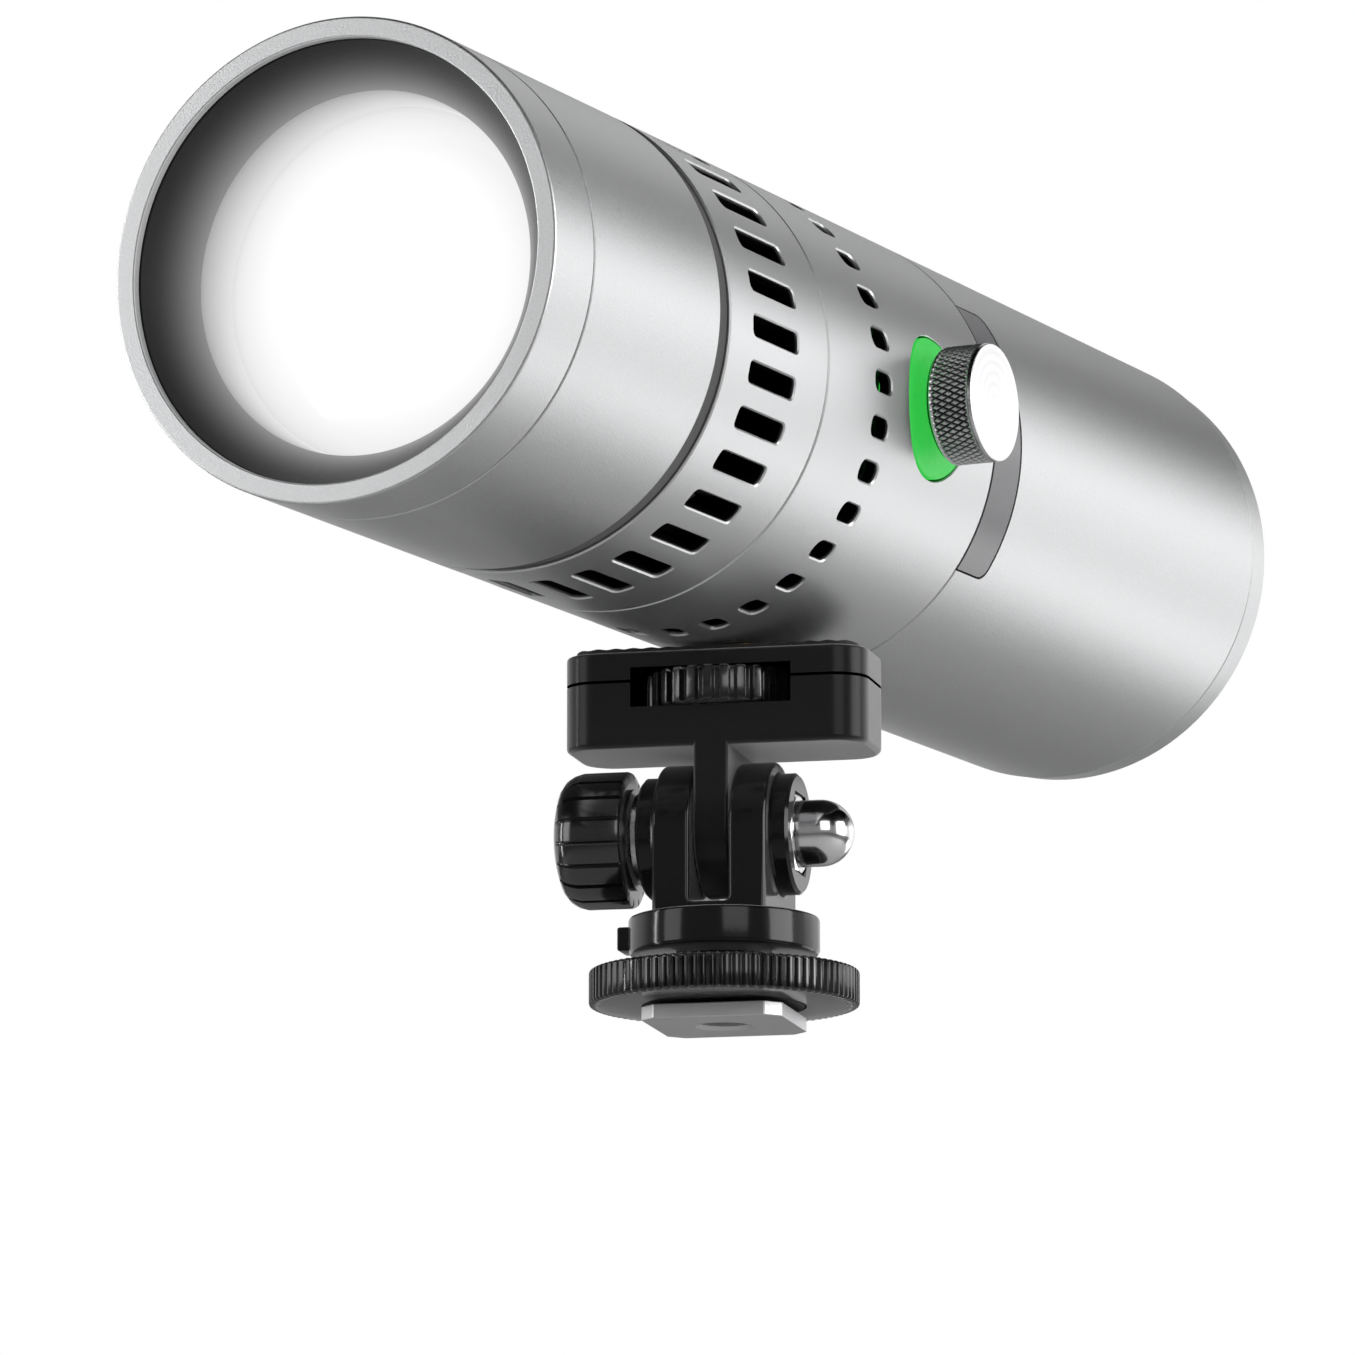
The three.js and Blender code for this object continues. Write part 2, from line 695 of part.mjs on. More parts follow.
/** The fan, on a bulkhead just behind the front neck of the middle housing. */
function addFan(lamp, fan) {
  const frameStart = fanFrameStart;
  const frameEnd = fanFrameEnd;
  const screwCircle = fanScrewPitch / Math.SQRT2;
  const screwHoles = around(
    rod(fanScrewRadius + fitGap, bulkheadStart - overrun, frameEnd + overrun, smallFacets)
      .translate(screwCircle, 0, 0), 4, fanScrewAngle);
  addPiece(lamp, "fan_bulkhead", without(
    solid(tube(bulkheadRadius, fanBore, bulkheadStart, bulkheadEnd, visibleFacets)), screwHoles), finishes.blackPlastic);

  const outline = roundedRectangle(fanSide, fanSide, fanCorner);
  const duct = solid(rod(fanBore, frameStart - overrun, frameEnd + overrun, visibleFacets));
  const frame = solid(plate(outline, -frameEnd, -frameStart).rotateX(Math.PI / 2)).subtract(duct);
  const statorStart = frameEnd - fanStatorDepth;
  const strut = box([fanHubRadius / 2, statorStart, -fanStrutWidth / 2],
    [fanBore + overrun / 2, frameEnd, fanStrutWidth / 2]);
  const stator = [
    solid(rod(fanStatorRadius, statorStart, frameEnd)),
    solid(rod(fanPinRadius, statorStart - fanPinReach, statorStart + fanStatorDepth / 2, smallFacets)),
    ...around(strut, 3, fanStrutAngle),
  ];
  addPiece(lamp, "fan_frame", without(together([frame, ...stator]), screwHoles), finishes.blackPlastic);

  const hubEnd = statorStart - fitGap;
  const hubStart = hubEnd - fanHubDepth;
  const blade = new THREE.BoxGeometry(fanBore - fanTipGap - fanHubRadius + overrun, fanBladeChord, fanBladeThickness)
    .rotateX(THREE.MathUtils.degToRad(fanBladePitch))
    .translate((fanBore - fanTipGap + fanHubRadius - overrun) / 2, (hubStart + hubEnd) / 2, 0);
  const hub = turned([
    [0, hubStart], [fanHubRadius, hubStart], [fanHubRadius, hubEnd],
    [fanPinRadius + fitGap, hubEnd], [fanPinRadius + fitGap, hubStart + fanHubFace], [0, hubStart + fanHubFace],
  ]);
  const pinRoom = solid(rod(fanPinRadius + fitGap, hubStart + fanHubFace, hubEnd + overrun, smallFacets));
  const rotor = together([solid(hub), ...around(blade, fanBladeCount)]).subtract(pinRoom);
  addPiece(fan, "fan_rotor", rotor, finishes.blackPlastic);

  const headStart = frameEnd + fitGap;
  const screw = turned([
    [0, bulkheadStart], [fanScrewRadius, bulkheadStart], [fanScrewRadius, headStart],
    [fanScrewHeadRadius, headStart], [fanScrewHeadRadius, fanScrewEnd], [0, fanScrewEnd],
  ], smallFacets).translate(screwCircle, 0, 0);
  addTurned(lamp, "fan_screw", screw, finishes.steel, evenAngles(2, fanScrewAngle));
}

/** The middle housing: small vent holes, the knob's opening and the hole for the tripod insert. */
function addMidHousing(lamp) {
  const start = ventRingEnd + seamGap / 2;
  const end = midHousingEnd - seamGap / 2;
  const profile = [
    [neckBore, start - neckReach], [neckRadius, start - neckReach], [neckRadius, start],
    [lampRadius, start], [lampRadius, end], [neckRadius, end], [neckRadius, rearNeckEnd],
    [neckBore, rearNeckEnd], [neckBore, end - neckWall], [shellBore, end - 2 * neckWall],
    [shellBore, start + neckWall], [neckBore, start + neckWall],
  ];
  const ringHole = solid(sideways(rod(lightRingRadius + fitGap, 0, lampRadius + overrun))
    .translate(0, knobStation, 0));
  const insertHole = solid(upright(rod(insertRadius + fitGap, -lampRadius - overrun, 0))
    .translate(0, insertStation, 0));
  const vents = ventCutters(holeLength, slotWidth, slotCorner, ventRingEnd + holeInset + holeLength / 2);
  addPiece(lamp, "mid_housing", without(solid(turned(profile)), [ringHole, insertHole, ...vents]),
    finishes.satinAluminium);
}

/** The brass insert in the lamp's underside that the tripod screw holds. */
function addInsert(lamp) {
  const low = insertRecess - lampRadius;
  const high = low + insertHeight;
  const flangeLow = -Math.sqrt(shellBore ** 2 - insertFlangeRadius ** 2) + fitGap;
  addPiece(lamp, "tripod_insert", upright(turned([
    [screwRadius + fitGap, low], [insertRadius, low], [insertRadius, flangeLow],
    [insertFlangeRadius, flangeLow], [insertFlangeRadius, flangeLow + insertFlangeThickness],
    [insertRadius, flangeLow + insertFlangeThickness], [insertRadius, high],
    [0, high], [0, high - insertFloor], [screwRadius + fitGap, high - insertFloor],
  ], innerFacets)), finishes.brass, [0, insertStation, 0]);
}

/** The knob, its shaft and plunger, the glowing ring around it and the encoder that it turns. */
function addControls(lamp, plunger, knob) {
  const at = [0, knobStation, 0];
  const boreRadius = shaftRadius + fitGap;
  const plungerBack = encoderBack + encoderDepth - 2 * plungerThickness - knobTravel - fitGap;
  const plungerFront = plungerBack + plungerThickness;
  const shaftBack = plungerFront + fitGap;
  const bushRadius = boreRadius + bushWall;
  const ringBore = bushRadius + fitGap;
  const knobBack = lampRadius + knobStandoff;
  const knobFront = knobBack + knobHeight;
  const shaftFront = knobFront - knobCapThickness - fitGap;
  const caseBody = solid(box([encoderBack, -encoderLength / 2, -encoderHeight / 2],
    [encoderFace, encoderLength / 2, encoderHeight / 2]));
  const bush = solid(sideways(rod(bushRadius, encoderFace - overrun, encoderFace + bushLength)));
  const bore = solid(sideways(rod(boreRadius, plungerBack - knobTravel - fitGap,
    encoderFace + bushLength + overrun)));
  addPiece(lamp, "encoder_body", caseBody.add(bush).subtract(bore), finishes.blackPlastic, at);
  addPiece(lamp, "encoder_board", box(
    [encoderBoardBack, -encoderBoardLength / 2, fitGap - chassisDrop],
    [encoderBoardBack + encoderBoardThickness, encoderBoardLength / 2, encoderBoardTop],
  ), finishes.circuitBoard, at);
  addPiece(plunger, "switch_plunger",
    sideways(rod(shaftRadius, plungerBack, plungerFront, smallFacets)), finishes.steel, at);
  addPiece(knob, "encoder_shaft",
    sideways(rod(shaftRadius, shaftBack, shaftFront, smallFacets)), finishes.steel, at);
  addPiece(knob, "control_knob", sideways(turned([
    [boreRadius, knobBack], [knobRadius - knobChamfer, knobBack], [knobRadius, knobBack + knobChamfer],
    [knobRadius, knobFront - knobChamfer], [knobRadius - knobChamfer, knobFront], [0, knobFront],
    [0, shaftFront + fitGap], [boreRadius, shaftFront + fitGap],
  ], visibleFacets)), finishes.knurledAluminium, at);
  const boardStart = encoderFace + fitGap;
  addPiece(lamp, "ring_light_board", sideways(tube(
    ringBoardRadius, ringBore, boardStart, boardStart + ringBoardThickness, innerFacets,
  )), finishes.circuitBoard, at);
  const ring = solid(sideways(tube(lightRingRadius, ringBore, lightRingSeat, lampRadius + overrun, visibleFacets))
    .translate(...at));
  const skin = solid(rod(lampRadius - lightRingRecess, 0, lampLength, shellFacets));
  addPiece(lamp, "light_ring", ring.intersect(skin), finishes.greenGlow);
}

/** The chassis plate across the middle housing and the driver board on it. */
function addElectronics(lamp) {
  const halfWidth = Math.sqrt(shellBore ** 2 - (chassisDrop + chassisThickness) ** 2) - fitGap;
  addPiece(lamp, "chassis_plate", box(
    [-halfWidth, chassisStart, -chassisDrop - chassisThickness], [halfWidth, chassisEnd, -chassisDrop],
  ), finishes.satinAluminium);
  const low = fitGap - chassisDrop;
  const high = low + driverBoardThickness;
  const middle = (chassisStart + chassisEnd) / 2;
  const length = chassisEnd - chassisStart - 2 * driverBoardInset;
  const left = driverBoardSideGap - halfWidth;
  const width = encoderBoardBack - driverBoardReach - left;
  const board = solid(box([left, middle - length / 2, low], [left + width, middle + length / 2, high]));
  const inductor = solid(upright(rod(inductorRadius, high - overrun / 2, high + inductorHeight))
    .translate(left + width * inductorShare, middle, 0));
  const capacitors = [-1, 1].map((side) =>
    solid(upright(rod(capacitorRadius, high - overrun / 2, high + capacitorHeight, smallFacets))
      .translate(left + width * capacitorShare, middle + (side * length) / 4, 0)));
  addPiece(lamp, "driver_board", together([board, inductor, ...capacitors]), finishes.circuitBoard);
}

/** The long plain rear casing, with the notch in its front edge that holds the display strip. */
function addRearCasing(lamp) {
  const start = midHousingEnd + seamGap / 2;
  const end = rearCasingEnd - seamGap / 2;
  const notchEnd = midHousingEnd + displayWidth;
  const casing = solid(tube(lampRadius, shellBore, start, end));
  const notch = solid(sector(lampRadius + overrun, shellBore - overrun, start - overrun, notchEnd, displayHalfAngle));
  addPiece(lamp, "rear_casing", casing.subtract(notch), finishes.satinAluminium);
  const windowOuter = lampRadius - displayRecess;
  const windowInner = windowOuter - displayWindowThickness;
  const sideGap = THREE.MathUtils.radToDeg(fitGap / lampRadius);
  addPiece(lamp, "display_window", sector(windowOuter, windowInner, start, notchEnd - fitGap,
    displayHalfAngle - sideGap), finishes.smokedWindow);
  addPiece(lamp, "display_board", sector(neckRadius + fitGap + displayBoardThickness, neckRadius + fitGap,
    start + displayBoardMargin, notchEnd - fitGap - displayBoardMargin, displayHalfAngle - 2 * sideGap),
    finishes.circuitBoard);
}

/** Three cells in a cradle of two end plates and three rods. */
function addBattery(lamp) {
  const frontEnd = cradleStart + cradlePlateThickness;
  const circle = (2 * (cellRadius + cellSpacing)) / Math.sqrt(3);
  const link = rod(cradleRodRadius, cradleStart, cradleEnd, smallFacets).translate(cradleRodCircle, 0, 0);
  const terminal = rod(cradleSeatRadius, cradleStart - overrun, frontEnd + overrun, smallFacets)
    .translate(circle, 0, 0);
  const plates = together([
    solid(rod(bulkheadRadius, cradleStart, frontEnd)),
    solid(rod(seatRadius, cradleEnd - cradlePlateThickness, cradleEnd)),
    ...around(link, cellCount, 180),
  ]);
  addPiece(lamp, "battery_cradle", without(plates, around(terminal, cellCount)), finishes.blackPlastic);
  for (let i = 0; i < cellCount; i += 1) {
    const angle = (2 * Math.PI * i) / cellCount;
    addPiece(lamp, `battery_cell_${i + 1}`, turned([
      [0, cellStart], [cellRadius, cellStart], [cellRadius, cellEnd - cellCapHeight],
      [cellCapRadius, cellEnd - cellCapHeight], [cellCapRadius, cellEnd], [0, cellEnd],
    ], innerFacets), finishes.batteryWrap, [circle * Math.cos(angle), 0, circle * Math.sin(angle)]);
  }
}

/** The rear cap with its screws, and the charging port behind its opening. */
function addRearCap(lamp) {
  const start = rearCasingEnd + seamGap / 2;
  const bandRadius = lampRadius - rimBevel / 2;
  const rearRadius = bandRadius - capTaper;
  const faceStation = capFaceStation;
  const rimInner = rearRadius - capEdgeChamfer - capRimWidth;
  const capScrewCircle = rimInner - capScrewInset;
  const plateInner = faceStation - capPlateThickness;
  const shell = solid(turned([
    [neckBore, start - capPlugLength], [neckRadius, start - capPlugLength], [neckRadius, start],
    [bandRadius, start], [rearRadius, lampLength - capEdgeChamfer],
    [rearRadius - capEdgeChamfer, lampLength], [rimInner, lampLength], [rimInner, faceStation],
    [0, faceStation], [0, plateInner], [neckBore, plateInner],
  ]));
  const hole = rod(capScrewRadius + fitGap, plateInner - overrun, faceStation + overrun, smallFacets)
    .translate(capScrewCircle, 0, 0);
  const sink = rod(capScrewHeadRadius + fitGap, faceStation - capScrewHeadHeight - fitGap,
    faceStation + overrun, smallFacets).translate(capScrewCircle, 0, 0);
  const opening = plate(roundedRectangle(portWidth + 2 * fitGap, portHeight + 2 * fitGap,
    portHeight / 2 + fitGap), -faceStation - overrun, overrun - plateInner).rotateX(Math.PI / 2);
  addPiece(lamp, "rear_cap", without(shell, [
    ...around(hole, capScrewCount, capScrewAngle), ...around(sink, capScrewCount, capScrewAngle),
    solid(opening),
  ]), finishes.satinAluminium);

  const headStart = faceStation - capScrewHeadHeight;
  const screw = turned([
    [0, headStart - capScrewGrip], [capScrewRadius, headStart - capScrewGrip], [capScrewRadius, headStart],
    [capScrewHeadRadius, headStart], [capScrewHeadRadius, faceStation], [0, faceStation],
  ], smallFacets).translate(capScrewCircle, 0, 0);
  addTurned(lamp, "rear_cap_screw", screw, finishes.steel, evenAngles(capScrewCount, capScrewAngle));

  addPiece(lamp, "port_board", box([-portBoardWidth / 2, portBoardStart, -portBoardHeight / 2],
    [portBoardWidth / 2, portBoardEnd, portBoardHeight / 2]), finishes.circuitBoard);
  const inner = roundedRectangle(portWidth - 2 * portWall, portHeight - 2 * portWall, portHeight / 2 - portWall);
  const can = solid(plate(roundedRectangle(portWidth, portHeight, portHeight / 2), -faceStation, -portStart)
    .rotateX(Math.PI / 2));
  const cavity = solid(plate(inner, -faceStation - overrun, -portStart - portBaseThickness)
    .rotateX(Math.PI / 2));
  const tongueHalf = portWidth / 2 - 2 * portWall - portHeight / 4;
  const tongue = solid(box([-tongueHalf, portStart, -portTongueThickness / 2],
    [tongueHalf, faceStation - portBaseThickness, portTongueThickness / 2]));
  addPiece(lamp, "charging_port", can.subtract(cavity).add(tongue), finishes.steel);
}

/** The metal foot: a square plate and the threaded hub that is moulded into the clevis stem. */
function addFoot(base) {
  const outline = chamferedRectangle(footWidth, footWidth, footCorner);
  const hub = solid(upright(rod(footHubRadius, footThickness - overrun / 2, footThickness + footHubHeight)));
  const socket = solid(upright(rod(footSocketRadius, -overrun, footThickness + footHubHeight - footSocketFloor)));
  addPiece(base, "foot_plate", solid(plate(outline, 0, footThickness)).add(hub).subtract(socket),
    finishes.footMetal);
}

/** The moulded clevis: stem, round base with its index lug, and two ears with a collar each. */
function addClevis(base) {
  const stem = solid(upright(rod(stemRadius, footThickness + fitGap, discBottom + overrun)));
  const flats = [-1, 1].map((side) => solid(box(
    [side > 0 ? stemFlat : -stemRadius - overrun, -stemRadius - overrun, -overrun],
    [side > 0 ? stemRadius + overrun : -stemFlat, stemRadius + overrun, discBottom])));
  const disc = solid(upright(turned([
    [0, discBottom], [discRadius - discChamfer, discBottom], [discRadius, discBottom + discChamfer],
    [discRadius, discTop], [0, discTop],
  ], visibleFacets)));
  const lugLow = discBottom + lugRise;
  const lugHigh = lugLow + lugHeight;
  const lug = solid(box([-discRadius - lugStand, -lugWidth / 2, lugLow], [-discRadius / 2, lugWidth / 2, lugHigh]));
  const notch = solid(box([-discRadius - lugStand / 2, -lugWidth / 2 - overrun, lugHigh - lugNotch],
    [-discRadius, lugWidth / 2 + overrun, lugHigh + overrun]));
  const ears = solid(box([-clevisWidth / 2, -earRadius, discTop - overrun / 2],
    [clevisWidth / 2, earRadius, pivotHeight]));
  const crown = solid(sideways(rod(earRadius, -clevisWidth / 2, clevisWidth / 2, visibleFacets))
    .translate(0, 0, pivotHeight));
  const reach = clevisWidth / 2 + collarHeight;
  const collars = solid(sideways(rod(collarRadius, -reach, reach, visibleFacets)).translate(0, 0, pivotHeight));
  const slotHalf = tongueThickness / 2 + fitGap;
  const slotFloor = pivotHeight - blockDepth / 2 - fitGap;
  const slot = solid(box([-slotHalf, -earRadius - overrun, slotFloor],
    [slotHalf, earRadius + overrun, pivotHeight + earRadius + overrun]));
  const studHole = solid(sideways(rod(studRadius + fitGap, -reach - overrun, reach + overrun, smallFacets))
    .translate(0, 0, pivotHeight));
  const pocket = solid(sideways(hexRod(nutCorner + fitGap, reach - nutPocketDepth, reach + overrun))
    .translate(0, 0, pivotHeight));
  const hubHole = solid(upright(rod(footHubRadius + fitGap, -overrun, footThickness + footHubHeight + fitGap)));
  addPiece(base, "clevis_base", without(
    together([stem, disc, lug, ears, crown, collars]), [...flats, notch, slot, studHole, pocket, hubHole],
  ), finishes.blackPlastic);
}

/** The chrome acorn nut in the right ear's pocket. */
function addNut(base) {
  const start = clevisWidth / 2 + collarHeight - nutPocketDepth + fitGap;
  const hexEnd = start + nutHexHeight;
  const end = start + nutHeight;
  const domeSteps = 3;
  const cylinderEnd = end - nutDomeRadius;
  const dome = Array.from({ length: domeSteps + 1 }, (_, i) => {
    const angle = (Math.PI / 2) * (i / domeSteps);
    return [nutDomeRadius * Math.cos(angle), cylinderEnd + nutDomeRadius * Math.sin(angle)];
  });
  dome[domeSteps][0] = 0;
  const crown = solid(sideways(turned([[0, start], [nutDomeRadius, start], ...dome], innerFacets)));
  const hex = solid(sideways(hexRod(nutCorner, start, hexEnd)));
  const thread = solid(sideways(rod(studRadius + fitGap, start - overrun, start + studGrip + fitGap, smallFacets)));
  addPiece(base, "acorn_nut", hex.add(crown).subtract(thread), finishes.chrome,
    [0, 0, pivotHeight]);
}

/** The fluted tilt knob with its stud, and the washer between it and the left ear. */
function addTiltKnob(base, tiltKnob) {
  const at = [0, 0, pivotHeight];
  const collarFace = -clevisWidth / 2 - collarHeight;
  const washerEnd = collarFace - fitGap;
  const hubEnd = washerEnd - washerThickness - fitGap;
  const skirtEnd = hubEnd - tiltKnobHubLength;
  const faceStation = skirtEnd - tiltKnobLength;
  const nutStart = clevisWidth / 2 + collarHeight - nutPocketDepth + fitGap;
  const pin = solid(sideways(rod(studRadius, skirtEnd - studGrip, nutStart + studGrip, smallFacets)));
  addPiece(tiltKnob, "tilt_stud", pin, finishes.steel, at);
  addPiece(base, "tilt_washer", sideways(tube(washerRadius, studRadius + fitGap,
    washerEnd - washerThickness, washerEnd, innerFacets)), finishes.steel, at);
  const gripStart = faceStation + 2 * tiltKnobDome;
  const outline = toothedOutline(tiltKnobRadius, tiltKnobFluteDepth, tiltKnobFluteCount,
    fluteAngleShares, fluteHeightShares);
  const grip = solid(plate(outline, gripStart, skirtEnd).rotateY(Math.PI / 2));
  const rootRadius = tiltKnobRadius - tiltKnobFluteDepth;
  const core = solid(sideways(turned([
    [0, faceStation], [rootRadius * domeFaceShare, faceStation + tiltKnobDome * domeRiseShare],
    [rootRadius - tiltKnobDome / 2, faceStation + tiltKnobDome], [rootRadius, gripStart],
    [rootRadius, gripStart + overrun / 2], [tiltKnobHub, gripStart + overrun / 2],
    [tiltKnobHub, hubEnd], [0, hubEnd],
  ], visibleFacets)));
  const studRoom = solid(sideways(rod(studRadius + fitGap, skirtEnd - studGrip - fitGap, hubEnd + overrun,
    smallFacets)));
  addPiece(tiltKnob, "tilt_knob", grip.add(core).subtract(studRoom), finishes.blackPlastic, at);
}

/** The toothed ring that clamps the foot in its shoe, and the keyed washer inside it. */
function addLockRing(lockRing, clamp) {
  const outline = toothedOutline(lockRingRadius, lockRingToothDepth, lockRingToothCount,
    lockToothAngleShares, lockToothHeightShares);
  const teeth = solid(plate(outline, lockRingBottom, lockRingTop));
  const bore = solid(upright(rod(stemRadius + fitGap, lockRingBottom - overrun, lockRingTop + overrun)));
  const recess = solid(upright(rod(lockRingRecessRadius, lockRingBottom - overrun, lockRingTop - lockRingWeb)));
  addPiece(lockRing, "lock_ring", without(teeth, [bore, recess]), finishes.blackPlastic);
  const low = lockRingBottom - clampStand;
  const washer = solid(upright(tube(lockRingRecessRadius - fitGap, stemRadius + fitGap, low, low + clampThickness,
    innerFacets)));
  const keys = [-1, 1].map((side) => solid(box(
    [side > 0 ? stemFlat + fitGap : -stemRadius - overrun / 2, -clampKeyWidth / 2, low],
    [side > 0 ? stemRadius + overrun / 2 : -stemFlat - fitGap, clampKeyWidth / 2, low + clampThickness])));
  addPiece(clamp, "clamp_washer", together([washer, ...keys]), finishes.blackRubber);
}

/** The lower block half with the tongue that hangs between the ears. */
function addBlock(head) {
  const middle = (blockBottom + blockSplit) / 2;
  const outline = roundedRectangle(blockWidth, blockDepth, blockCorner);
  const lower = solid(plate(outline, blockBottom, blockSplit - seamGap / 2));
  const upper = solid(plate(outline, blockSplit + seamGap / 2, blockTop));
  const window = solid(box([-windowWidth / 2, -blockDepth, windowTop - windowHeight],
    [windowWidth / 2, blockDepth, windowTop]));
  const radius = blockDepth / 2;
  const half = tongueThickness / 2;
  const tongueTop = solid(box([-half, -radius, pivotHeight], [half, radius, middle]));
  const tongueEnd = solid(sideways(rod(radius, -half, half)).translate(0, 0, pivotHeight));
  const studHole = solid(sideways(rod(studRadius + fitGap, -blockWidth, blockWidth, smallFacets))
    .translate(0, 0, pivotHeight));
  const headRoom = solid(upright(rod(screwHeadRadius + fitGap, windowTop - windowHeight - screwHeadHeight - fitGap,
    blockSplit)));
  addPiece(head, "block_base", without(together([lower, tongueTop, tongueEnd]), [window, studHole, headRoom]),
    finishes.blackPlastic);
  const padRoom = solid(plate(roundedRectangle(
    blockWidth - 2 * padMargin, blockDepth - 2 * padMargin, blockCorner - padMargin,
  ), blockTop - padRecess, blockTop + overrun));
  const screwRoom = solid(upright(rod(screwRadius + fitGap, blockSplit - overrun, blockTop + overrun)));
  addPiece(head, "block_top", without(upper, [window, padRoom, screwRoom]), finishes.blackPlastic);
}

/** The ribbed rubber pad that the lamp rests on. */
function addPad(head) {
  const width = blockWidth - 2 * padMargin - 2 * fitGap;
  const depth = blockDepth - 2 * padMargin - 2 * fitGap;
  const low = blockTop - padRecess + fitGap;
  const pitch = width / padRibCount;
  const profile = new THREE.Shape();
  profile.moveTo(-width / 2, low);
  profile.lineTo(width / 2, low);
  profile.lineTo(width / 2, padTop - padRibHeight);
  for (let i = padRibCount - 1; i >= 0; i -= 1) {
    padRibShares.forEach(([along, up]) => {
      profile.lineTo(-width / 2 + pitch * (i + along), padTop - padRibHeight * (1 - up));
    });
  }
  const ribs = solid(plate(profile, -depth, depth).rotateX(Math.PI / 2));
  const outline = solid(plate(roundedRectangle(width, depth, blockCorner - padMargin - fitGap),
    low - overrun, padTop + overrun));
  const hole = solid(upright(rod(screwRadius + fitGap, low - overrun, padTop + overrun)));
  addPiece(head, "mount_pad", ribs.intersect(outline).subtract(hole), finishes.blackRubber);
}

/** The ribbed thumbwheel in the block's window and the screw that it turns. */
function addWheel(wheel) {
  const low = windowTop - windowHeight + fitGap;
  const high = windowTop - fitGap;
  const outline = toothedOutline(wheelRadius, wheelRibDepth, wheelRibCount, wheelRibAngleShares, wheelRibHeightShares);
  const disc = solid(plate(outline, low, high));
  const bore = solid(upright(rod(screwRadius + fitGap, low - overrun, high + overrun)));
  addPiece(wheel, "thumbwheel", disc.subtract(bore), finishes.blackPlastic);
  const headLow = low - fitGap - screwHeadHeight;
  const tip = padTop + fitGap + screwReach;
  addPiece(wheel, "mount_screw", upright(turned([
    [0, headLow], [screwHeadRadius, headLow], [screwHeadRadius, low - fitGap], [screwRadius, low - fitGap],
    [screwRadius, tip - screwChamfer], [screwRadius - screwChamfer, tip], [0, tip],
  ], innerFacets)), finishes.steel);
}

const part = new THREE.Group();
const base = new THREE.Group();
const tiltKnob = new THREE.Group();
const lockRing = new THREE.Group();
const clamp = new THREE.Group();
const head = new THREE.Group();
const wheel = new THREE.Group();
const bracket = new THREE.Group();
const lamp = new THREE.Group();
const fan = new THREE.Group();
const plunger = new THREE.Group();
const knob = new THREE.Group();

bracket.rotation.z = THREE.MathUtils.degToRad(bracketYaw);
lamp.position.set(0, -insertStation, lampAxisHeight);
bracket.add(base, tiltKnob, lockRing, clamp, head, wheel);
lamp.add(fan, plunger, knob);
part.add(bracket, lamp);

addFront(lamp);
addBarrel(lamp);
addOptics(lamp);
addLightEngine(lamp);
addVentRing(lamp);
addFan(lamp, fan);
addMidHousing(lamp);
addInsert(lamp);
addControls(lamp, plunger, knob);
addElectronics(lamp);
addRearCasing(lamp);
addBattery(lamp);
addRearCap(lamp);
addFoot(base);
addClevis(base);
addNut(base);
addTiltKnob(base, tiltKnob);
addLockRing(lockRing, clamp);
addBlock(head);
addPad(head);
addWheel(wheel);

export default part;
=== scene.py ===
"""Video spotlight: the visible surfaces and finishes of a cylindrical lamp on a tilting shoe bracket.

Sizes are in millimetres. Each piece is shaped about an axis of its own and is then set into the part's frame,
in metres, with its place in its mesh.
"""

import json
import logging
import math
from contextlib import contextmanager
from dataclasses import dataclass, field
from enum import Enum
from typing import Callable, Dict, Iterator, List, Optional, Sequence, Tuple, Union

import bmesh
import bpy
from mathutils import Matrix, Vector


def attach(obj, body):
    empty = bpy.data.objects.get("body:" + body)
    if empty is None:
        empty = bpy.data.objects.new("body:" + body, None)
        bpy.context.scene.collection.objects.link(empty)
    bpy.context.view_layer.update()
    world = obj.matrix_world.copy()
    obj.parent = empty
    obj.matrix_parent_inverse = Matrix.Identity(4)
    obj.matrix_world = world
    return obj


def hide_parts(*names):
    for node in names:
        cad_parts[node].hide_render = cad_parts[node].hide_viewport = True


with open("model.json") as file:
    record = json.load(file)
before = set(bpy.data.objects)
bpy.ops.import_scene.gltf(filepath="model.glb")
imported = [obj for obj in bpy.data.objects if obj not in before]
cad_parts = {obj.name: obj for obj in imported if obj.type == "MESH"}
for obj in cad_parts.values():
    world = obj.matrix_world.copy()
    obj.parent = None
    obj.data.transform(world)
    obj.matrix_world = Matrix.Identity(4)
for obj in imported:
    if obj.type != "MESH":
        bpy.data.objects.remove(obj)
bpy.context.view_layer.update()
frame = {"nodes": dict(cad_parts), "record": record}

LOG = logging.getLogger("spotlight")
MM = 0.001  # in metres
TURN = 2 * math.pi
TINY = 1e-6  # lengths below this count as none
WELD = 0.002  # distance up to which the copies of a tile are joined
BEYOND = 20.0  # reach of a cutter that goes right through the bracket

Point = Tuple[float, float]
Place = Tuple[float, float, float]
Colour = Tuple[float, float, float]
Socket = bpy.types.NodeSocket


class Axis(Enum):
    """The axis that a piece is shaped about before it is set into the part's frame."""

    LAMP = "along the lamp, measured from its front face"
    KNOB = "out of the lamp's side, through the control knob"
    STAND = "up from the foot, turned with the bracket"
    PIVOT = "across the bracket, through the tilt pivot"


def across(height: float = 0.0) -> Matrix:
    """Returns the transform that lays a form's axis across the bracket, at a height."""
    return Matrix(((0, 0, 1, 0), (1, 0, 0, 0), (0, 1, 0, height), (0, 0, 0, 1)))


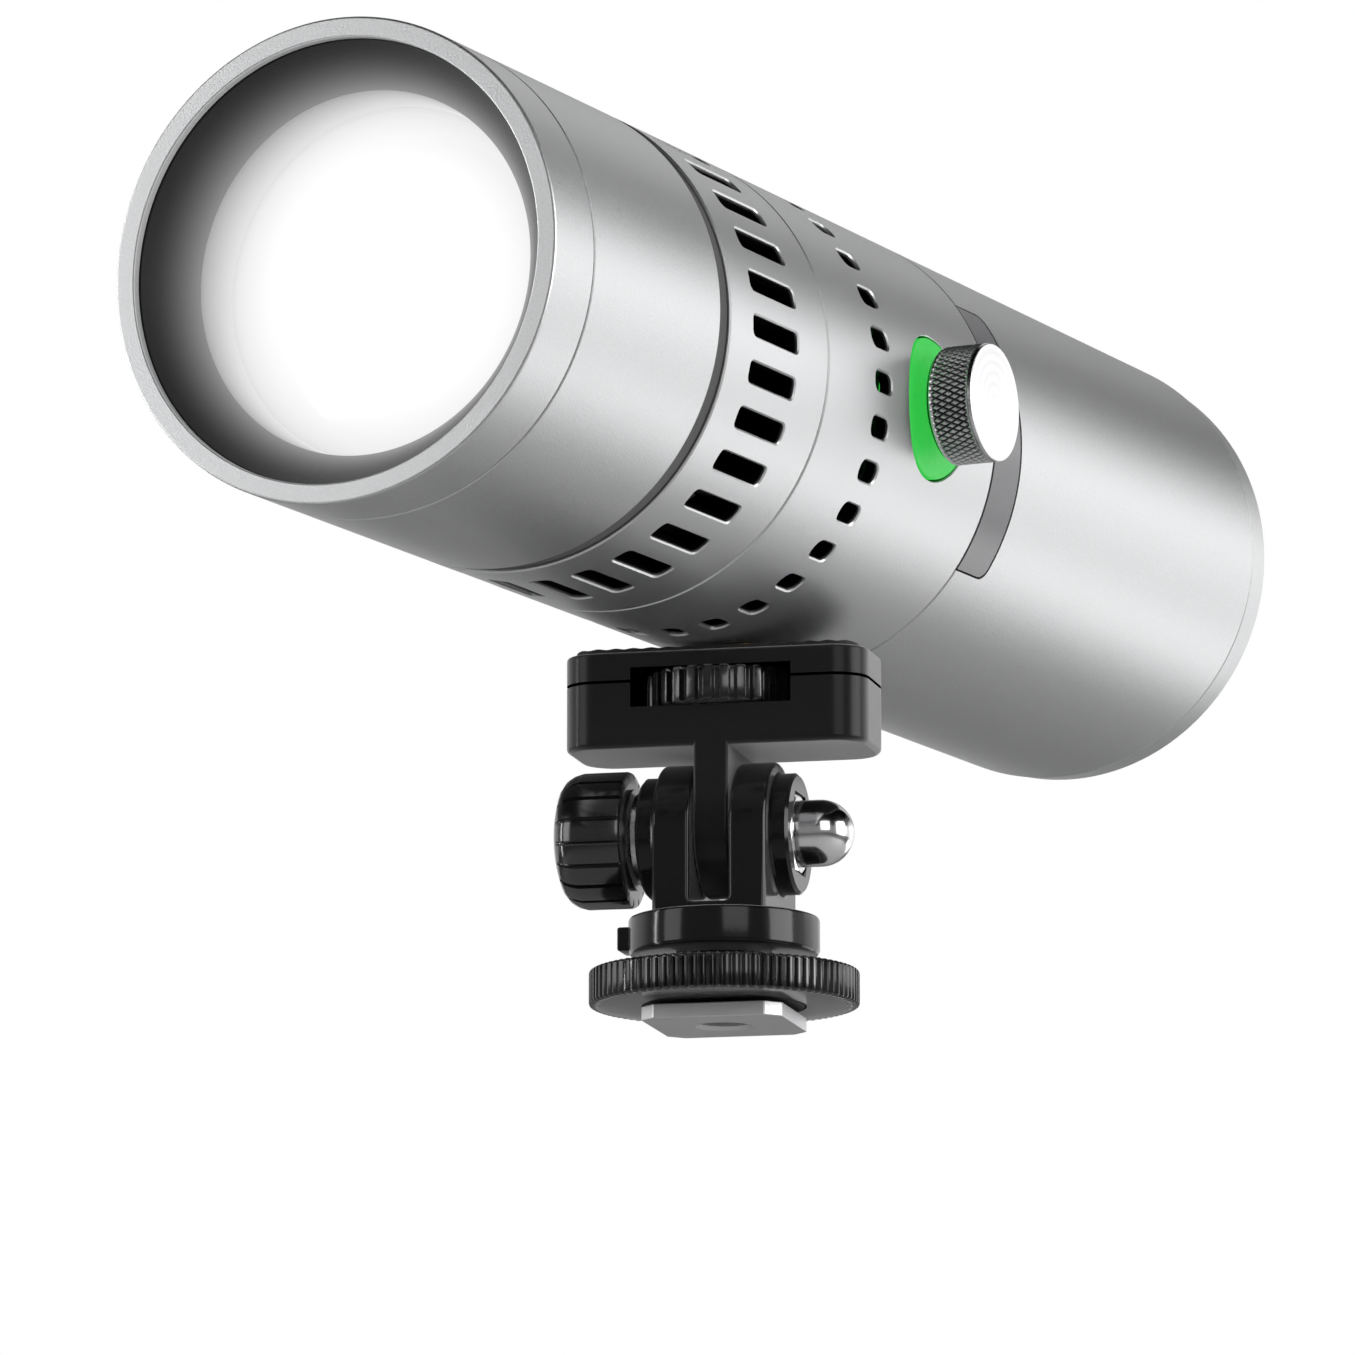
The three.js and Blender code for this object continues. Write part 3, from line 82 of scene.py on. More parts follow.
@dataclass(frozen=True)
class Layout:
    """The places that the sub-assemblies share.

    Args:
        radius: outer radius of the lamp.
        wall: thickness of its shells.
        edge: width of the small chamfers at the shells' ends.
        front: how far the front face lies in front of the stand's axis.
        axis_height: height of the lamp's axis over the foot's underside.
        pivot_height: height of the tilt pivot.
        knob_station: how far the control knob's axis lies behind the front face.
        yaw: turn of the bracket under the lamp, in degrees.
    """

    radius: float = 30.0
    wall: float = 1.8
    edge: float = 0.15
    front: float = 108.2
    axis_height: float = 79.2
    pivot_height: float = 24.8
    knob_station: float = 110.4
    yaw: float = 13.0

    @property
    def inner(self) -> float:
        """The shells' inner radius."""
        return self.radius - self.wall

    def matrix(self, axis: Axis) -> Matrix:
        """Returns the transform from an axis's own millimetres to the part's frame in metres."""
        if axis is Axis.LAMP:
            place = Matrix(((0, 1, 0, 0), (0, 0, 1, -self.front), (1, 0, 0, self.axis_height), (0, 0, 0, 1)))
        elif axis is Axis.KNOB:
            place = Matrix(((0, 0, 1, 0), (1, 0, 0, self.knob_station - self.front),
                            (0, 1, 0, self.axis_height), (0, 0, 0, 1)))
        else:
            place = Matrix.Rotation(math.radians(self.yaw), 4, "Z")
            if axis is Axis.PIVOT:
                place = place @ across(self.pivot_height)
        return Matrix.Scale(MM, 4) @ place


LAYOUT = Layout()


class NodeTree:
    """A small writer for a node tree: it adds nodes, sets their inputs and joins their sockets."""

    def __init__(self, tree: bpy.types.NodeTree) -> None:
        """Starts the tree afresh."""
        self.tree = tree
        tree.nodes.clear()

    def feed(self, node: bpy.types.Node, inputs: Dict[Union[str, int], object]) -> None:
        """Links each input of a node to a socket, or sets it to a value."""
        for key, value in inputs.items():
            if isinstance(value, Socket):
                self.tree.links.new(value, node.inputs[key])
            else:
                node.inputs[key].default_value = value

    def add(self, kind: str, inputs: Optional[Dict[Union[str, int], object]] = None,
            **values: object) -> bpy.types.Node:
        """Adds one node.

        Args:
            kind: the node's type.
            inputs: a socket or a value for each input, by name or number.
            values: the node's plain properties.

        Returns:
            The node.
        """
        node = self.tree.nodes.new(kind)
        for key, value in values.items():
            setattr(node, key, value)
        self.feed(node, inputs or {})
        return node

    def math(self, operation: str, *values: Union[Socket, float]) -> Socket:
        """Returns the result of one sum on sockets or numbers."""
        return self.add("ShaderNodeMath", dict(enumerate(values)), operation=operation).outputs[0]

    def ramp(self, value: Socket, start: float, end: float, low: float = 0.0, high: float = 1.0) -> Socket:
        """Maps a value between start and end to the range from low to high."""
        return self.add("ShaderNodeMapRange", {"Value": value, "From Min": start, "From Max": end,
                                               "To Min": low, "To Max": high}).outputs["Result"]

    def mixed(self, factor: Socket, first: bpy.types.Node, second: bpy.types.Node) -> Socket:
        """Mixes two shader nodes by a factor."""
        return self.add("ShaderNodeMixShader",
                        {0: factor, 1: first.outputs[0], 2: second.outputs[0]}).outputs[0]


class NodeGraph(NodeTree):
    """A material's tree, with one principled shader."""

    NOISE_RANGE = (0.3, 0.7)

    def __init__(self, material: bpy.types.Material) -> None:
        """Starts a material's tree afresh with the shader and its output."""
        material.use_nodes = True
        super().__init__(material.node_tree)
        self.shader = self.add("ShaderNodeBsdfPrincipled")
        self.output = self.add("ShaderNodeOutputMaterial", {"Surface": self.shader.outputs["BSDF"]})
        self.place = self.add("ShaderNodeTexCoord").outputs["Object"]

    def noise(self, size: float, detail: float = 3.0) -> Socket:
        """Returns a noise factor whose spots are about size millimetres wide."""
        return self.add("ShaderNodeTexNoise", {"Scale": 1.0 / (size * MM), "Detail": detail,
                                               "Vector": self.place}).outputs["Fac"]

    def spread(self, factor: Socket, low: float, high: float) -> Socket:
        """Maps the middle of a noise factor to the range from low to high."""
        return self.ramp(factor, *self.NOISE_RANGE, low, high)

    def tint(self, factor: Socket, low: Colour, high: Colour) -> Socket:
        """Mixes two colours by a factor."""
        return self.add("ShaderNodeMix", {"A": (*low, 1.0), "B": (*high, 1.0), "Factor": factor},
                        data_type="RGBA").outputs["Result"]

    def bump(self, height: Socket, depth: float, strength: float) -> None:
        """Gives the shader a bump from a height factor, with its depth in millimetres."""
        made = self.add("ShaderNodeBump", {"Strength": strength, "Distance": depth * MM, "Height": height})
        self.feed(self.shader, {"Normal": made.outputs["Normal"]})

    def moved(self, place: Sequence[float], scale: Sequence[float] = (1.0, 1.0, 1.0)) -> Socket:
        """Returns the object's coordinates, scaled and then moved."""
        return self.add("ShaderNodeMapping", {"Vector": self.place, "Location": place,
                                              "Scale": scale}).outputs["Vector"]

    def reach(self, axis: Axis, start: float, end: float) -> Socket:
        """Returns a factor that follows the distance from an axis.

        Args:
            axis: the lamp's or the control knob's axis.
            start: distance in millimetres where the factor is 0.
            end: distance in millimetres where the factor is 1.

        Returns:
            The factor's socket.
        """
        flat = (1.0, 0.0, 1.0) if axis is Axis.LAMP else (0.0, 1.0, 1.0)
        centre = LAYOUT.matrix(axis).translation
        place = self.moved([-c * share for c, share in zip(centre, flat)], flat)
        length = self.add("ShaderNodeVectorMath", {0: place}, operation="LENGTH")
        return self.ramp(length.outputs["Value"], start * MM, end * MM)


@dataclass(frozen=True)
class Finish:
    """A plain surface with fine grain and a little unevenness.

    Args:
        name: the finish's own name.
        slot: the record's material slot.
        colour: linear base colour.
        roughness: middle roughness.
        metallic: 1 for bare metal.
        grain: width of the grain in millimetres.
        relief: depth of the grain in millimetres.
        unevenness: share by which the colour changes over the surface.
        specular: strength of the clear reflection.
        sheen: strength of the soft brightening towards grazing angles.
        speckled: whether the colour changes with the grain, and not in broad clouds.
    """

    CLOUD_SIZE = 18.0
    SHEEN_ROUGHNESS = 0.45
    ROUGHNESS_SPREAD = 0.12

    name: str
    slot: str
    colour: Colour
    roughness: float
    metallic: float = 0.0
    grain: float = 0.25
    relief: float = 0.01
    unevenness: float = 0.05
    specular: float = 0.5
    sheen: float = 0.0
    speckled: bool = False

    def dress(self, graph: NodeGraph) -> None:
        """Writes the finish's colour, roughness and grain."""
        fine = graph.noise(self.grain, 2.0)
        cloud = fine if self.speckled else graph.noise(self.CLOUD_SIZE)
        dark = tuple(c * (1 - self.unevenness) for c in self.colour)
        light = tuple(min(1.0, c * (1 + self.unevenness)) for c in self.colour)
        graph.feed(graph.shader, {
            "Metallic": self.metallic, "Specular IOR Level": self.specular, "Sheen Weight": self.sheen,
            "Sheen Roughness": self.SHEEN_ROUGHNESS,
            "Base Color": graph.tint(graph.spread(cloud, 0.0, 1.0), dark, light),
            "Roughness": graph.spread(fine, self.roughness * (1 - self.ROUGHNESS_SPREAD),
                                      min(1.0, self.roughness * (1 + self.ROUGHNESS_SPREAD)))})
        graph.bump(fine, self.relief, 1.0)

    def material(self) -> bpy.types.Material:
        """Returns the finish's material, made once."""
        made = bpy.data.materials.get(self.name)
        if made is None:
            made = bpy.data.materials.new(self.name)
            self.dress(NodeGraph(made))
        return made


@dataclass(frozen=True)
class SpunFinish(Finish):
    """Bare metal with fine concentric lines about the control knob's axis.

    Args:
        pitch: distance between the lines in millimetres.
        depth: depth of the lines in millimetres.
    """

    WAVE_SCALE = 0.05
    DISTORTION = 0.4
    STRENGTH = 0.8

    pitch: float = 0.22
    depth: float = 0.012

    def dress(self, graph: NodeGraph) -> None:
        """Adds the rings to the plain finish."""
        super().dress(graph)
        centre = LAYOUT.matrix(Axis.KNOB).translation
        rings = graph.add("ShaderNodeTexWave", {
            "Vector": graph.moved((0.0, -centre.y, -centre.z)), "Scale": self.WAVE_SCALE / (self.pitch * MM),
            "Distortion": self.DISTORTION, "Detail": 1.0},
            wave_type="RINGS", rings_direction="X", wave_profile="SIN")
        graph.bump(rings.outputs["Fac"], self.depth, self.STRENGTH)


@dataclass(frozen=True)
class GlowFinish(Finish):
    """A surface that glows by the distance from the lamp's axis: real light on the lens and the green ring,
    painted light on the hood and the lens's retaining ring.

    Args:
        glow: emitted colour at the inner radius.
        rim: emitted colour at the outer radius.
        inner_radius: distance from the axis, in millimetres, where the glow is whole.
        outer_radius: distance from the axis, in millimetres, where it has changed to the rim's.
        fall: power by which it changes; 1 is even.
    """

    glow: Colour = (1.0, 1.0, 1.0)
    rim: Colour = (0.0, 0.0, 0.0)
    inner_radius: float = 10.0
    outer_radius: float = 22.0
    fall: float = 1.0

    def dress(self, graph: NodeGraph) -> None:
        """Adds the light to the plain finish."""
        super().dress(graph)
        share = graph.reach(Axis.LAMP, self.outer_radius, self.inner_radius)
        curve = graph.math("POWER", share, self.fall)
        graph.feed(graph.shader, {"Emission Color": graph.tint(curve, self.rim, self.glow),
                                  "Emission Strength": 1.0})


@dataclass(frozen=True)
class DepthShadeFinish(Finish):
    """A finish with painted shade: it turns dark below its surface, by the distance from an axis, where shade
    falls in grooves and openings.

    Args:
        deep: colour of the painted shade in the depth.
        low: distance from the axis, in millimetres, up to which it is dark.
        high: distance from the axis, in millimetres, where the full colour starts.
        axis: the axis, of the lamp or of the control knob.
    """

    deep: Colour = (0.01, 0.01, 0.01)
    low: float = 29.4
    high: float = 29.75
    axis: Axis = Axis.LAMP

    def dress(self, graph: NodeGraph) -> None:
        """Adds the painted shade in the depth to the plain finish."""
        super().dress(graph)
        share = graph.reach(self.axis, self.low, self.high)
        graph.feed(graph.shader, {"Base Color": graph.tint(share, self.deep, self.colour)})


SILVER = (0.62, 0.625, 0.63)
BLACK = (0.003, 0.003, 0.0032)
GREEN_LIGHT = (0.03, 0.5, 0.06)


class Finishes:
    """The finishes of this lamp. The first of a slot also dresses the CAD nodes that stay."""

    SATIN = Finish("satin_silver", "satin_aluminium", SILVER, 0.42, 1.0, 0.24, 0.02, 0.07, speckled=True)
    # Painted light: the hood's dark grey glows more towards the lens, from 27.4 mm in to 22.6 mm from the axis.
    HOOD = GlowFinish("hood_grey_painted_light", "hood_grey", (0.035, 0.035, 0.037), 0.5, 0.3, 0.2, 0.015,
                      glow=(0.24, 0.24, 0.243), inner_radius=22.6, outer_radius=27.4, fall=2.2)
    LENS = GlowFinish("lens_glow", "lens_glass", (0.2, 0.2, 0.2), 0.12, grain=2.0, relief=0.0, unevenness=0.0,
                      rim=(0.56, 0.56, 0.56), inner_radius=12.0, outer_radius=22.2, fall=0.5)
    # Painted shade: the knurl's grooves turn dark below 7.62 mm from the knob's axis.
    KNURL = DepthShadeFinish("knurled_side", "knurled_aluminium", (0.75, 0.75, 0.76), 0.3, 1.0, 0.2, 0.004, 0.0,
                        deep=(0.03, 0.03, 0.032), low=7.45, high=7.62, axis=Axis.KNOB)
    # Painted shade: the walls inside the slots and holes turn dark below 29.75 mm from the lamp's axis.
    VENTED = DepthShadeFinish("vented_silver_painted_shade", "satin_aluminium", SILVER, 0.42, 1.0, 0.24, 0.02)
    SPUN = SpunFinish("spun_face", "knurled_aluminium", (0.62, 0.62, 0.63), 0.26, 1.0, 0.2, 0.002)
    GREEN = GlowFinish("green_glow", "green_light", (0.0, 0.12, 0.01), 0.5, grain=1.0, relief=0.002,
                       glow=GREEN_LIGHT, rim=GREEN_LIGHT)
    WINDOW = Finish("smoked_window", "smoked_window", (0.085, 0.083, 0.086), 0.16, 0.0, 2.5, 0.0, 0.12)
    HEAT_SINK = Finish("black_anodised", "heat_sink", (0.02, 0.02, 0.022), 0.45, 0.6, 0.2, 0.01)
    PLASTIC = Finish("black_moulding", "black_plastic", BLACK, 0.24, 0.0, 0.3, 0.004, 0.05, 0.14, 1.0)
    GLOSSY = Finish("black_edge_moulding", "black_plastic", BLACK, 0.13, 0.0, 0.4, 0.002, 0.05, 0.3, 0.25)
    RIBBED = Finish("black_ribbed_moulding", "black_plastic", BLACK, 0.16, 0.0, 0.4, 0.0, 0.05, 0.9, 0.2)
    # Painted shade: a black with no reflection or sheen, for the faces inside the thumbwheel's window and along
    # the block's seam.
    PAINTED_SHADE = Finish("black_painted_shade", "black_plastic", (0.001, 0.001, 0.001), 0.6, 0.0, 0.4, 0.0, 0.0, 0.0)
    RUBBER = Finish("black_rubber", "rubber", (0.014, 0.014, 0.014), 0.7, 0.0, 0.3, 0.02)
    GASKET = Finish("gasket_grey", "rubber", (0.1, 0.1, 0.102), 0.75, 0.0, 0.3, 0.03, 0.15)
    STEEL = Finish("plated_steel", "steel", (0.5, 0.5, 0.51), 0.28, 1.0, 0.3, 0.004)
    CHROME = Finish("bright_chrome", "chrome", (0.75, 0.75, 0.76), 0.15, 1.0, 2.0, 0.0)
    FOOT = Finish("foot_silver", "foot_metal", (0.62, 0.62, 0.63), 0.42, 0.8, 0.25, 0.012)
    # Painted shade: the brass is darkened almost to black, because the insert shows only in shade between the
    # pad and the lamp.
    BRASS = Finish("brass_in_painted_shade", "brass", (0.05, 0.035, 0.015), 0.4, 1.0, 0.3, 0.004)
    BOARD = Finish("solder_resist", "circuit_board", (0.02, 0.09, 0.04), 0.4, 0.0, 0.6, 0.01)
    WRAP = Finish("cell_sleeve", "battery_wrap", (0.03, 0.1, 0.33), 0.35, 0.0, 3.0, 0.01)
    LED = Finish("phosphor", "led", (0.85, 0.7, 0.2), 0.5, 0.0, 0.4, 0.01)
    MIRROR = Finish("reflector_coat", "reflector", (0.86, 0.87, 0.88), 0.12, 1.0, 1.0, 0.002)
    # Painted light: the lens's retaining ring glows, brightest at its bore next to the lens and dim outwards.
    BEZEL = GlowFinish("bezel_painted_light", "reflector", (0.4, 0.4, 0.4), 0.5, grain=0.3, relief=0.01,
                       glow=(0.5, 0.5, 0.5), rim=(0.1, 0.1, 0.1), inner_radius=22.1, outer_radius=22.6,
                       fall=0.8)

    @classmethod
    def by_slot(cls, slot: str) -> Finish:
        """Returns the finish for a record slot, for the CAD nodes that stay."""
        for finish in vars(cls).values():
            if isinstance(finish, Finish) and finish.slot == slot:
                return finish
        raise KeyError(slot)


class Form:
    """A mesh in millimetres about its own axis, with the operations that shape it."""

    END_FACE = 0.999  # least part of a normal along the axis on a face that closes an end

    def __init__(self, name: str, vertices: Sequence[Sequence[float]], faces: Sequence[Sequence[int]]) -> None:
        """Makes the mesh and points its faces outwards."""
        mesh = bpy.data.meshes.new(name)
        mesh.from_pydata([tuple(v) for v in vertices], [], [tuple(f) for f in faces])
        self.object = bpy.data.objects.new(name, mesh)
        bpy.context.scene.collection.objects.link(self.object)
        self.clean()

    @property
    def mesh(self) -> bpy.types.Mesh:
        """The mesh as it is now."""
        return self.object.data

    @contextmanager
    def edit(self) -> Iterator[bmesh.types.BMesh]:
        """Lends the mesh for an edit and writes it back."""
        work = bmesh.new()
        work.from_mesh(self.mesh)
        yield work
        work.to_mesh(self.mesh)
        work.free()

    def remove(self) -> None:
        """Removes the form and its mesh."""
        mesh = self.mesh
        bpy.data.objects.remove(self.object)
        bpy.data.meshes.remove(mesh)

    def clean(self, distance: float = 0.0005) -> "Form":
        """Joins doubles and points the faces outwards."""
        with self.edit() as work:
            bmesh.ops.remove_doubles(work, verts=work.verts, dist=distance)
            bmesh.ops.dissolve_degenerate(work, dist=distance / 2, edges=work.edges)
            bmesh.ops.recalc_face_normals(work, faces=work.faces)
        return self

    def move(self, matrix: Matrix) -> "Form":
        """Moves or turns the form."""
        self.mesh.transform(matrix)
        return self

    def merge(self, *others: "Form") -> "Form":
        """Takes in the faces of other forms as they are."""
        with self.edit() as work:
            for other in others:
                work.from_mesh(other.mesh)
        for other in others:
            other.remove()
        return self

    def modify(self, kind: str, **values: object) -> "Form":
        """Adds one modifier and applies it to the mesh."""
        modifier = self.object.modifiers.new(kind.lower(), kind)
        for key, value in values.items():
            setattr(modifier, key, value)
        return self.bake()

    def bake(self) -> "Form":
        """Applies all modifiers to the mesh."""
        graph = bpy.context.evaluated_depsgraph_get()
        made = bpy.data.meshes.new_from_object(self.object.evaluated_get(graph))
        self.object.modifiers.clear()
        old, self.object.data = self.object.data, made
        bpy.data.meshes.remove(old)
        return self

    def _combine(self, others: Sequence["Form"], operation: str) -> "Form":
        """Combines other forms with this one by the exact solver and removes them."""
        for other in others:
            self.modify("BOOLEAN", object=other.object, operation=operation, solver="EXACT")
            other.remove()
        return self

    def cut(self, *others: "Form") -> "Form":
        """Takes other forms away."""
        return self._combine(others, "DIFFERENCE")

    def join(self, *others: "Form") -> "Form":
        """Adds other forms."""
        return self._combine(others, "UNION")

    def keep(self, other: "Form") -> "Form":
        """Keeps only what lies inside another form."""
        return self._combine([other], "INTERSECT")

    def soften(self, width: float, segments: int = 3, angle: float = 35.0) -> "Form":
        """Rounds the edges that are sharper than an angle in degrees."""
        return self.modify("BEVEL", width=width, segments=segments, limit_method="ANGLE",
                           angle_limit=math.radians(angle), use_clamp_overlap=True, miter_outer="MITER_ARC")

    def shade(self, angle: float = 32.0, weighted: bool = True) -> "Form":
        """Smooths the faces and keeps edges sharper than an angle in degrees crisp."""
        with self.edit() as work:
            for face in work.faces:
                face.smooth = True
            for edge in work.edges:
                edge.smooth = len(edge.link_faces) == 2 and edge.calc_face_angle(0.0) < math.radians(angle)
        return self.modify("WEIGHTED_NORMAL", keep_sharp=True) if weighted else self

    def shade_round(self, limit: float = 0.985) -> "Form":
        """Gives the faces that look straight out from the form's axis, or along it, exact normals.

        Args:
            limit: least cosine between a face's normal and the line from the axis.

        Returns:
            The form itself.
        """
        self.shade(weighted=False)
        mesh = self.mesh
        normals: List[Vector] = [Vector(n.vector) for n in mesh.corner_normals]
        for polygon in mesh.polygons:
            if abs(polygon.normal.z) > self.END_FACE:
                for corner in polygon.loop_indices:
                    normals[corner] = Vector((0.0, 0.0, math.copysign(1.0, polygon.normal.z)))
                continue
            centre = Vector((polygon.center.x, polygon.center.y, 0.0))
            if centre.length > TINY and abs(polygon.normal.dot(centre.normalized())) > limit:
                side = 1.0 if polygon.normal.dot(centre) > 0 else -1.0
                for corner in polygon.loop_indices:
                    place = mesh.vertices[mesh.loops[corner].vertex_index].co
                    normals[corner] = Vector((place.x, place.y, 0.0)).normalized() * side
        mesh.normals_split_custom_set([tuple(n) for n in normals])
        return self

    def set_in(self, axis: Axis, finish: Finish) -> bpy.types.Object:
        """Moves the mesh into the part's frame and gives it its finish."""
        self.move(LAYOUT.matrix(axis))
        self.mesh.materials.clear()
        self.mesh.materials.append(finish.material())
        return self.object


def paint_box(piece: bpy.types.Object, axis: Axis, low: Sequence[float], high: Sequence[float],
              finish: Finish) -> None:
    """Gives the faces inside a box their own finish.

    Args:
        piece: a piece that is already in the part's frame.
        axis: the axis whose own millimetres the box is in.
        low: least corner of the box.
        high: greatest corner of the box.
        finish: the finish of the faces whose middle is in the box.
    """
    back = LAYOUT.matrix(axis).inverted()
    piece.data.materials.append(finish.material())
    for face in piece.data.polygons:
        if all(a < c < b for a, c, b in zip(low, back @ face.center, high)):
            face.material_index = len(piece.data.materials) - 1


class Shapes:
    """Makers of plain forms about the local Z axis."""

    SHARPEST = 0.3  # least divisor at a corner, so that a sharp one isn't moved too far

    @staticmethod
    def circle(radius: float, height: float, count: int) -> List[Place]:
        """Points evenly round the axis."""
        return [(radius * math.cos(TURN * i / count), radius * math.sin(TURN * i / count), height)
                for i in range(count)]

    @staticmethod
    def arc(radius: float, first: float, last: float, steps: int) -> List[Point]:
        """Points on an arc about the axis, between two angles in half turns, with both ends."""
        angles = [math.pi * (first + (last - first) * k / steps) for k in range(steps + 1)]
        return [(radius * math.cos(angle), radius * math.sin(angle)) for angle in angles]

    @staticmethod
    def skin(loops: int, count: int, closed: bool = False) -> List[List[int]]:
        """Faces between loops of vertices that are numbered one loop after another.

        Args:
            loops: number of loops.
            count: vertices in each loop.
            closed: whether the last loop is joined to the first.

        Returns:
            The corners of each face.
        """
        faces: List[List[int]] = []
        for k in range(loops if closed else loops - 1):
            low, high = k * count, (k + 1) % loops * count
            faces += [[low + i, low + (i + 1) % count, high + (i + 1) % count, high + i] for i in range(count)]
        return faces

    @staticmethod
    def turned(name: str, profile: Sequence[Point], segments: int = 128) -> Form:
        """Turns a closed profile of (radius, height) points about the axis."""
        vertices: List[Place] = []
        rings: List[List[int]] = []
        for radius, height in profile:
            count = 1 if radius < TINY else segments
            rings.append([len(vertices) + (i % count) for i in range(segments)])
            vertices += Shapes.circle(radius, height, segments)[:count]
        faces: List[List[int]] = []
        for low, high in zip(rings, rings[1:] + rings[:1]):
            for i in range(segments):
                corners = [low[i], low[(i + 1) % segments], high[(i + 1) % segments], high[i]]
                loop = [c for k, c in enumerate(corners) if c != corners[k - 1]]
                if len(loop) > 2:
                    faces.append(loop)
        return Form(name, vertices, faces)

    @staticmethod
    def tube(name: str, outer: float, inner: float, low: float, high: float, segments: int = 128,
             chamfer: float = 0.1) -> Form:
        """A plain tube with small chamfers at its outer edges."""
        return Shapes.turned(name, [
            (inner, low), (outer - chamfer, low), (outer, low + chamfer), (outer, high - chamfer),
            (outer - chamfer, high), (inner, high)], segments)

    @staticmethod
    def rod(name: str, radius: float, low: float, high: float, segments: int = 96) -> Form:
        """A plain rod."""
        return Shapes.turned(name, [(0, low), (radius, low), (radius, high), (0, high)], segments)

    @staticmethod
    def stacked(name: str, levels: Sequence[Sequence[Place]]) -> Form:
        """Joins outlines of the same number of points, from the lowest to the highest, and closes the ends."""
        count, last = len(levels[0]), (len(levels) - 1) * len(levels[0])
        faces = [list(range(count))[::-1], list(range(last, last + count))]
        return Form(name, [p for level in levels for p in level], faces + Shapes.skin(len(levels), count))

    @staticmethod
    def prism(name: str, outline: Sequence[Point], low: float, high: float) -> Form:
        """Extrudes a closed outline from one height to another."""
        return Shapes.stacked(name, [[(x, y, height) for x, y in outline] for height in (low, high)])

    @staticmethod
    def moulded(name: str, outline: Sequence[Point], low: float, high: float, edge: float,
                top_edge: Optional[float] = None, steps: int = 4) -> Form:
        """Extrudes an outline that runs anticlockwise, with its top and bottom edges rounded.

        Args:
            name: name of the form.
            outline: the points of the outline, with no doubles.
            low: height of the underside.
            high: height of the top.
            edge: radius of the rounded lower edges, and of the upper ones unless they have their own.
            top_edge: radius of the rounded upper edges.
            steps: steps over each rounded edge.

        Returns:
            The form.
        """
        inward: List[Point] = []
        for before, point, after in zip([outline[-1], *outline[:-1]], outline, [*outline[1:], outline[0]]):
            first, second = Vector(point) - Vector(before), Vector(after) - Vector(point)
            a = Vector((-first.y, first.x)).normalized()
            b = Vector((-second.y, second.x)).normalized()
            inward.append(tuple((a + b) / max(Shapes.SHARPEST, 1.0 + a.dot(b))))
        upper = edge if top_edge is None else top_edge
        curve = [(1 - sine, 1 - cosine) for cosine, sine in Shapes.arc(1.0, 0.0, 0.5, steps)]
        levels = [(edge * inset, low + edge * rise) for inset, rise in curve]
        levels += [(upper * inset, high - upper * rise) for inset, rise in curve[::-1]]
        return Shapes.stacked(name, [
            [(x + inset * nx, y + inset * ny, height) for (x, y), (nx, ny) in zip(outline, inward)]
            for inset, height in levels])

    @staticmethod
    def block(name: str, low: Sequence[float], high: Sequence[float]) -> Form:
        """A box between two corners."""
        outline = [(low[0], low[1]), (high[0], low[1]), (high[0], high[1]), (low[0], high[1])]
        return Shapes.prism(name, outline, low[2], high[2])

    @staticmethod
    def rounded(width: float, depth: float, corner: float, steps: int = 10) -> List[Point]:
        """The outline of a rectangle with round corners."""
        points: List[Point] = []
        for quarter, (sx, sy) in enumerate(((1, 1), (-1, 1), (-1, -1), (1, -1))):
            points += [(sx * (width / 2 - corner) + x, sy * (depth / 2 - corner) + y)
                       for x, y in Shapes.arc(corner, quarter / 2, (quarter + 1) / 2, steps)]
        return [p for p, q in zip(points, points[1:] + points[:1]) if math.dist(p, q) > TINY]

    @staticmethod
    def hexagon(corner: float) -> List[Point]:
        """A hexagon with flats above and below."""
        return [(x, y) for x, y, _ in Shapes.circle(corner, 0.0, 6)]


